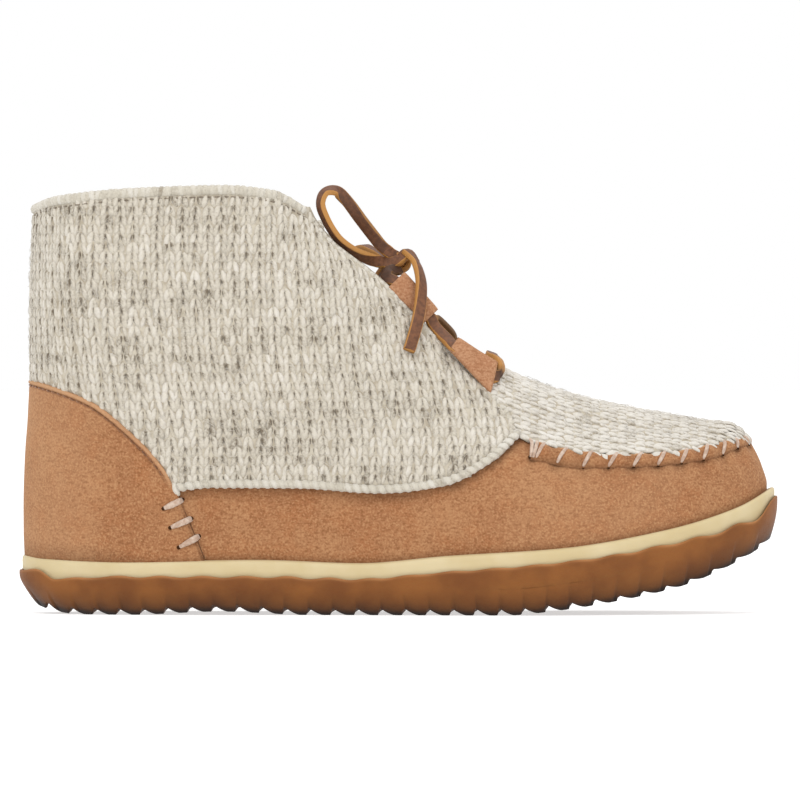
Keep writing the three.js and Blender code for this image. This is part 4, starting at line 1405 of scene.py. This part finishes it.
def rope(path, ups, radius, pitch, leans, leg, seed):
    """A rolled edge: legs of yarn laid round a core, leaning by turns. Returns tubes and shades."""
    rng = np.random.default_rng(seed)
    run = run_along(path)
    count = int(run[-1] / pitch)
    centres = (np.arange(count) + 0.5) * pitch
    q = np.linspace(0, 1, 7)
    lean = np.resize(leans, count)[:, None]
    spot = np.clip(centres[:, None] + lean * (q - 0.5) + rng.normal(0, 0.12, (count, 1)), 0, run[-1])
    middle = sampled(path, run, spot)
    up = unit(sampled(ups, run, spot))
    after, before = np.clip(spot + 1, 0, run[-1]), np.clip(spot - 1, 0, run[-1])
    ahead = unit(sampled(path, run, after) - sampled(path, run, before))
    across = unit(np.cross(ahead, up))
    angle = (q - 0.5) * math.radians(235)
    out = up * np.cos(angle)[:, None] + across * np.sin(angle)[:, None]
    paths = middle + out * radius
    fat = 1 + rng.normal(0, 0.08, (count, 1))
    half = leg * fat * np.clip(np.sin(math.pi * (0.08 + 0.84 * q)), 0, 1) ** 0.5
    tangents = unit(np.gradient(paths, axis=1))
    sides = unit(np.cross(tangents, out))
    made = tubes(paths, sides, np.cross(sides, tangents), half, half * 0.5, LEG_CORNERS)
    shade = np.repeat(np.clip(0.58 + rng.normal(0, 0.16, count), 0, 1), len(q) * LEG_CORNERS)
    return made, {"shade": shade, **leg_places(q, count)}


def rope_piece(name, path, ups, radius, pitch, leans, leg, seed, nodes=()):
    """A rolled edge with the core that fills it."""
    made, values = rope(path, ups, radius * 0.78, pitch, leans, leg, seed)
    core = tubes_along(path[None], ups[None], radius * 0.9, 1.0, 10, 0.1)
    points, faces = joined([made, core])
    values = {key: np.concatenate([data, np.full(len(core[0]), 0.35)]) for key, data in values.items()}
    piece(name, points, faces, HEM_YARN, "knit", nodes, values)


THROAT_TOP = 139.6


def make_quarter():
    """The knit that wraps the ankle, its backing, its rolled hem and its edges at the throat."""
    points, faces = joined([quarter_backing(chart) for chart in CHARTS.values()])
    piece("quarter_backing", points, faces, BACKING, "knit", ["quarter"])
    for seed, (name, side) in enumerate(SIDES.items()):
        def keep(p, side=side):
            return in_quarter(p) & (p[..., 1] * side > -WALE / 2)

        knit(f"quarter_knit_{name}", CHARTS[name], keep, 11 + seed, sink=under_counter)
        fuzz(f"quarter_fuzz_{name}", CHARTS[name], in_open_knit, 61 + seed, 1300, YARN)
        x = np.linspace(CORNER_X + 0.5, HEM.xs[-1], 120)
        line = even(np.stack([x, HEM(x) + 1.1], -1), 1.5)
        level, turn = on_side(line[:, 0], line[:, 1], side)
        path = place(level, turn, GAP + 1.1)
        rope_piece(f"quarter_hem_{name}", path, last_normal(level, turn), radius=1.55, pitch=2.9,
                   leans=(2.2,), leg=1.2, seed=31 + seed)
        z = np.linspace(THROAT_EDGE.xs[0], THROAT_TOP, 120)
        line = even(np.stack([THROAT_EDGE(z) - 1.2, z], -1), 1.5)
        level, turn = on_side(line[:, 0], line[:, 1], side)
        path, normal = place(level, turn, 0.2), last_normal(level, turn)
        ahead = unit(np.gradient(path, axis=0))
        ups = unit(normal + 0.8 * side * np.cross(ahead, normal))
        rope_piece(f"quarter_throat_edge_{name}", path, ups, radius=1.5, pitch=2.4,
                   leans=(1.6, -1.6), leg=1.05, seed=81 + seed)


def collar_path(drop, lift):
    """Along the collar from the inner throat edge round the back to the outer one, with the normals."""
    turn = np.linspace(-2.6, 2.6, 700)
    level = level_where(turn, lambda x: COLLAR_TOP(x) - drop)
    p = last_point(level, turn)
    keep = ~in_throat(p)
    turn, level = turn[keep], level[keep]
    line = even(np.stack([turn, level * 8], -1), 0.02)
    turn, level = line[:, 0], line[:, 1] / 8
    return place(level, turn, lift), last_normal(level, turn)


def seam_line(name, path, ups, material, slot, radius, pitch, length):
    """A row of short stitches along a line."""
    run = run_along(path)
    centres = np.arange(pitch / 2, run[-1], pitch)
    q = np.linspace(0, 1, 5)
    at = centres[:, None] + (q - 0.5) * length
    up = unit(sampled(ups, run, at))
    paths = sampled(path, run, at) - up * (0.5 * radius * (2 * q - 1) ** 4)[:, None]
    points, faces = tubes_along(paths, up, radius, 0.8, 6, 0.4)
    piece(name, points, faces, material, slot)


def make_collar_band():
    """The rolled edge of the ankle and the seam under it."""
    path, normal = collar_path(1.7, 0.35)
    ups = unit(normal + np.array([0, 0, 0.9]))
    rope_piece("collar_knit", path, ups, radius=2.0, pitch=2.2, leans=(1.2, -1.2), leg=1.1, seed=51,
               nodes=["collar_band"])
    path, normal = collar_path(4.0, GAP + 1.15)
    seam_line("collar_seam", path, normal, GREY_THREAD, "knit", radius=0.34, pitch=2.9, length=2.1)


APRON_FROM_X = 27.0
RIDGE = ridge_chart(-30.0, 124.0)


def in_apron(p, inset=-0.6):
    """Where the stitches of the instep and toes lie, also beside the slit of the throat."""
    x, y, z = p[..., 0], p[..., 1], p[..., 2]
    seam = np.where(x > SEAM_FROM_X, SEAM_EDGE(x) + inset, THROAT_EDGE.xs[0])
    behind = np.where(z > THROAT_EDGE.xs[0], THROAT_EDGE(z) + 0.3, SEAM_FROM_X)
    slit = (x < SLIT_BOTTOM_X + 2) & (np.abs(y) < SLIT_HALF_WIDTH + 0.8)
    return (z > seam) & (x > np.minimum(behind, SEAM_FROM_X)) & (x > THROAT_FROM_X + 1) & ~slit


def toe_puff(p):
    """How far the apron swells over the toes."""
    x, z = p[..., 0], p[..., 2]
    return 1.5 * bell(x, 117, 6) * smooth(1, 5, z - SEAM_EDGE(x))


def under_lip(p):
    """How far the apron's stitches go down: under the seam's lip, and up over the toes."""
    x, z = p[..., 0], p[..., 2]
    return np.where(x > SEAM_FROM_X, 0.8 * (1 - smooth(-0.8, 0.8, z - SEAM_EDGE(x))), 0) - toe_puff(p)


def make_apron():
    """Knit over the instep and toes, with its wales along the foot."""
    first, last = (abs(float(on_side(HEM.xs[-1], HEM.ys[-1], side)[1])) for side in SIDES.values())
    turn = np.concatenate([np.linspace(first, math.pi, 110), np.linspace(-math.pi, -last, 110)[1:]])
    start = level_where(turn, SEAM_EDGE)

    def outside(p):
        x, z = p[..., 0], p[..., 2]
        return (x < APRON_FROM_X) | ((x < THROAT_EDGE(z)) & (z > THROAT_EDGE.xs[0]))

    def on_toes(p):
        return in_apron(p, 5.0) & (p[..., 0] > SEAM_FROM_X)

    stop = exit_level(turn, start, outside)
    keep = stop > start + 0.02
    turn, start, stop = turn[keep], start[keep], stop[keep]
    level = lerp(start, stop, np.linspace(0, 1, 36)[:, None])
    puff = toe_puff(last_point(level, np.broadcast_to(turn, level.shape)))
    points, faces = shell(place(level, turn, GAP + 0.9 + puff), place(level, turn, 0.1))
    piece("apron_backing", points, faces, BACKING, "knit", ["apron"])
    knit("apron_knit", RIDGE, in_apron, 21, lift=1.2, leg=1.12, plump=0.45, material=APRON_YARN,
         sink=under_lip)
    fuzz("apron_fuzz", RIDGE, on_toes, 63, 600, APRON_YARN)


TONGUE_TOP = 138.0
TONGUE_FOOT_X = 46.0
TONGUE_HALF_WIDTH = 17
TONGUE_LIFT = -WALL - GAP


def make_tongue():
    """Knit tongue under the lacing."""
    def keep(p):
        return (np.abs(p[..., 1]) < 15.2) & (p[..., 0] < 43) & (p[..., 2] < TONGUE_TOP - 6)

    middle = RIDGE.points[:, len(RIDGE.a) // 2]
    top = np.interp(-TONGUE_TOP, -middle[:, 2], RIDGE.b)
    foot = np.interp(TONGUE_FOOT_X, middle[:, 0], RIDGE.b)
    b = np.linspace(top, foot, 70)
    a = np.linspace(-TONGUE_HALF_WIDTH, TONGUE_HALF_WIDTH, 40)
    grid_a, grid_b = np.meshgrid(a, b)
    outer, _ = RIDGE.at(grid_a, grid_b, TONGUE_LIFT - 0.7)
    inner, _ = RIDGE.at(grid_a, grid_b, TONGUE_LIFT - 2.0)
    points, faces = shell(outer, inner)
    piece("tongue_backing", points, faces, BACKING, "knit", ["tongue"])
    knit("tongue_knit", RIDGE, keep, 23, lift=TONGUE_LIFT - 0.1)
    path, normal = RIDGE.at(a[1:-1], b[0] + 1.2, TONGUE_LIFT - 1.2)
    ups = unit(normal + unit(outer[0] - outer[4])[1:-1])
    rope_piece("tongue_edge", path, ups, radius=1.6, pitch=2.6, leans=(1.2, -1.2), leg=1.1, seed=91)


def make_moc_seam():
    """A gathered suede lip round the apron, whipped over with yarn."""
    gather = pucker(SEAM_SHARE)
    across = np.linspace(0, 1, 14)[:, None]
    share = lerp(-0.02, 0.93, across)
    level = lerp(HOLE_LEVEL, LIP_LEVEL, share)
    turn = wrap_turn(lerp(HOLE_TURN, LIP_TURN, share))
    arch = np.sin(math.pi * (0.04 + 0.82 * across)) ** 0.6
    lift = 0.1 + (1.2 + 0.7 * (1 - gather) - 0.3 * gather) * arch * (1 - 0.4 * toe_share(level, turn))
    points, faces = shell(place(level, turn, lift), place(level, turn, 0.0))
    # Painted shade along the lip's foot by the holes and in its gathers; paler along its upper edge
    dark = 0.4 * bell(across, 0, 0.16) + 0.16 * gather
    worn = 0.75 * bell(across, 0.95, 0.12) * np.ones_like(gather)
    piece("seam_lip", points, faces, SUEDE, "suede", ["moc_seam"], on_front(shade=dark, worn=worn))
    make_whip_stitches()


def toe_share(level, turn):
    """0 along the foot and 1 at the front of the toe."""
    return smooth(108, 122, last_point(level, turn)[..., 0])


WHIP_LEAN = 5.6
# Stitches bundled at each rear end of the seam: distance along it and lean
WHIP_ENDS = np.array([(0.0, 0.4), (0.8, 2.4), (1.7, 4.6)])


def make_whip_stitches():
    """Stitches over the lip that slant towards the toe and stand upright at it, with a hole painted dark as
    shade under each.
    """
    at = np.arange(1, WHIP_COUNT - 1) * HOLE_RUN / (WHIP_COUNT - 1)
    before_toe = HOLE_RUN / 2 - at
    lean = WHIP_LEAN * smooth(4, 28, np.abs(before_toe)) * np.sign(before_toe)
    at = np.concatenate([WHIP_ENDS[:, 0], at, HOLE_RUN - WHIP_ENDS[:, 0]])
    lean = np.concatenate([WHIP_ENDS[:, 1], lean, -WHIP_ENDS[:, 1]])
    q = np.linspace(0, 1, 12)
    low, high = at / HOLE_RUN, np.clip(at / HOLE_RUN + lean / LIP_RUN, 0, 1)
    way = 0.06 + 0.92 * q

    def over_lip(holes, lip):
        start = np.interp(low, SEAM_SHARE, holes)[:, None]
        return lerp(start, np.interp(high, SEAM_SHARE, lip)[:, None], way)

    level = over_lip(HOLE_LEVEL, LIP_LEVEL)
    turn = wrap_turn(over_lip(HOLE_TURN, LIP_TURN))
    over = np.sin(math.pi * (0.03 + 0.82 * q)) ** 0.6
    lift = -0.1 + 2.0 * over * (1 - 0.35 * toe_share(level, turn))
    paths = place(level, turn, lift)
    points, faces = tubes_along(paths, last_normal(level, turn), 0.68, 0.8, 8, 0.25)
    piece("whip_stitches", points, faces, WHIP_YARN, "knit")
    holes = place(level[:, 0], turn[:, 0], 0.3)
    make_holes("seam_holes", holes, last_normal(level[:, 0], turn[:, 0]), 0.9)


def make_holes(name, centres, normals, radius):
    """Small dimples in the suede, painted dark as the shade inside stitch holes."""
    helper = np.where(np.abs(normals[:, 2:]) < 0.9, np.array([[0, 0, 1.0]]), np.array([[1.0, 0, 0]]))
    across = unit(np.cross(normals, helper))
    over = np.cross(normals, across)
    depth = np.array([0.0, 0.18, 0.22])
    paths = centres[:, None] + normals[:, None] * (depth[:, None] - 0.1)
    half = np.broadcast_to(radius * np.array([1.0, 0.8, 0.3]), paths.shape[:2])
    sides = np.broadcast_to(across[:, None], paths.shape)
    ups = np.broadcast_to(over[:, None], paths.shape)
    points, faces = tubes(paths, sides, ups, half, half, 12)
    piece(name, points, faces, HOLE_SHADE, "suede")


# Ends of the stitches that close the counter's front, lower end first
HEEL_STITCHES = [
    ((-81.2, 37.0), (-74.8, 40.0)),
    ((-78.9, 30.4), (-71.7, 33.5)),
    ((-76.0, 23.6), (-69.1, 27.4)),
]


def make_heel_stitches():
    """Thick stitches from the counter's front edge over on to the wall, a hole at each end."""
    parts, centres, normals = [], [], []
    rng = np.random.default_rng(71)
    q = np.linspace(0, 1, 14)
    for side in SIDES.values():
        for (x0, z0), (x1, z1) in HEEL_STITCHES:
            level, turn = on_side(lerp(x0, x1, q), lerp(z0, z1, q), side)
            over = np.sin(math.pi * np.clip(0.02 + 0.96 * q, 0, 1)) ** 0.5
            base = lerp(GAP + LAYER, 0.2, smooth(0.74, 1.0, q))
            paths = place(level, turn, base - 0.5 + 0.9 * over)
            normal = last_normal(level, turn)
            wide = 0.85 + 0.4 * q + 0.16 * np.cumsum(rng.normal(0, 0.4, len(q)))
            wide = np.clip(wide, 0.75, 1.4)
            parts.append(tubes_along(paths[None], normal[None], wide[None], 0.5, 10, 0.2))
            ends = place(level, turn, base + 0.1)
            centres += [ends[0], ends[-1]]
            normals += [normal[0], normal[-1]]
    points, faces = joined(parts)
    piece("heel_stitches", points, faces, WHIP_YARN, "knit")
    make_holes("heel_holes", np.array(centres), np.array(normals), 0.7)


def make_counter_topstitch():
    """A row of stitches under the counter's upper edge."""
    turn = np.linspace(-1.2, 1.2, 500)
    level = level_where(turn, lambda x: COUNTER_EDGE(x) - 2.2 - 0.8 * smooth(-115, -80, x))
    keep = last_point(level, turn)[:, 2] > 47
    level, turn = level[keep], turn[keep]
    path = place(level, turn, GAP + LAYER - 0.25)
    seam_line("counter_topstitch", path, last_normal(level, turn), TAN_THREAD, "suede",
              radius=0.3, pitch=3.0, length=2.5)


make_quarter()
make_collar_band()
make_apron()
make_tongue()
make_moc_seam()
make_heel_stitches()
make_counter_topstitch()


# Floor and light
FLOOR_RADIUS = 12.0
LIGHT_TARGET = Vector((0, 0, 0.06))


def make_stage():
    """A round pale floor, lit through a little as a studio table is."""
    finish = Finish("stage_paint", Roughness=0.9, Specular_IOR_Level=0.1, Emission_Strength=0.6)
    finish.shader.inputs["Emission Color"].default_value = (1, 1, 1, 1)
    finish.paint(tone(200, 200, 200, 1.0))
    angles = np.linspace(0, 2 * math.pi, 96, endpoint=False)
    mesh = bpy.data.meshes.new("stage_floor")
    rim = [(FLOOR_RADIUS * math.cos(a), FLOOR_RADIUS * math.sin(a), 0.0) for a in angles]
    mesh.from_pydata(rim, [], [range(len(rim))])
    mesh.materials.append(finish.material)
    floor = bpy.data.objects.new("stage_floor", mesh)
    bpy.context.scene.collection.objects.link(floor)


def add_light(name, spot, size, power):
    """A round area light that faces the shoe."""
    data = bpy.data.lights.new(name, "AREA")
    data.shape, data.size, data.energy = "DISK", size, power
    made = bpy.data.objects.new(name, data)
    made.location = spot
    made.rotation_mode = "QUATERNION"
    made.rotation_quaternion = (LIGHT_TARGET - Vector(spot)).to_track_quat("-Z", "Y")
    bpy.context.scene.collection.objects.link(made)


def make_light():
    """A white studio round the shoe and three soft lights."""
    world = bpy.data.worlds.new("studio")
    world.use_nodes = True
    background = world.node_tree.nodes["Background"]
    background.inputs["Color"].default_value = (1, 1, 1, 1)
    background.inputs["Strength"].default_value = 1.0
    bpy.context.scene.world = world
    bpy.context.scene.view_settings.view_transform = "Standard"
    add_light("key", (-0.5, -1.1, 1.3), size=0.8, power=10)
    add_light("fill", (0.9, -1.3, 0.5), size=1.0, power=3)
    add_light("top", (0.2, 0.5, 1.5), size=0.9, power=5)


make_stage()
make_light()
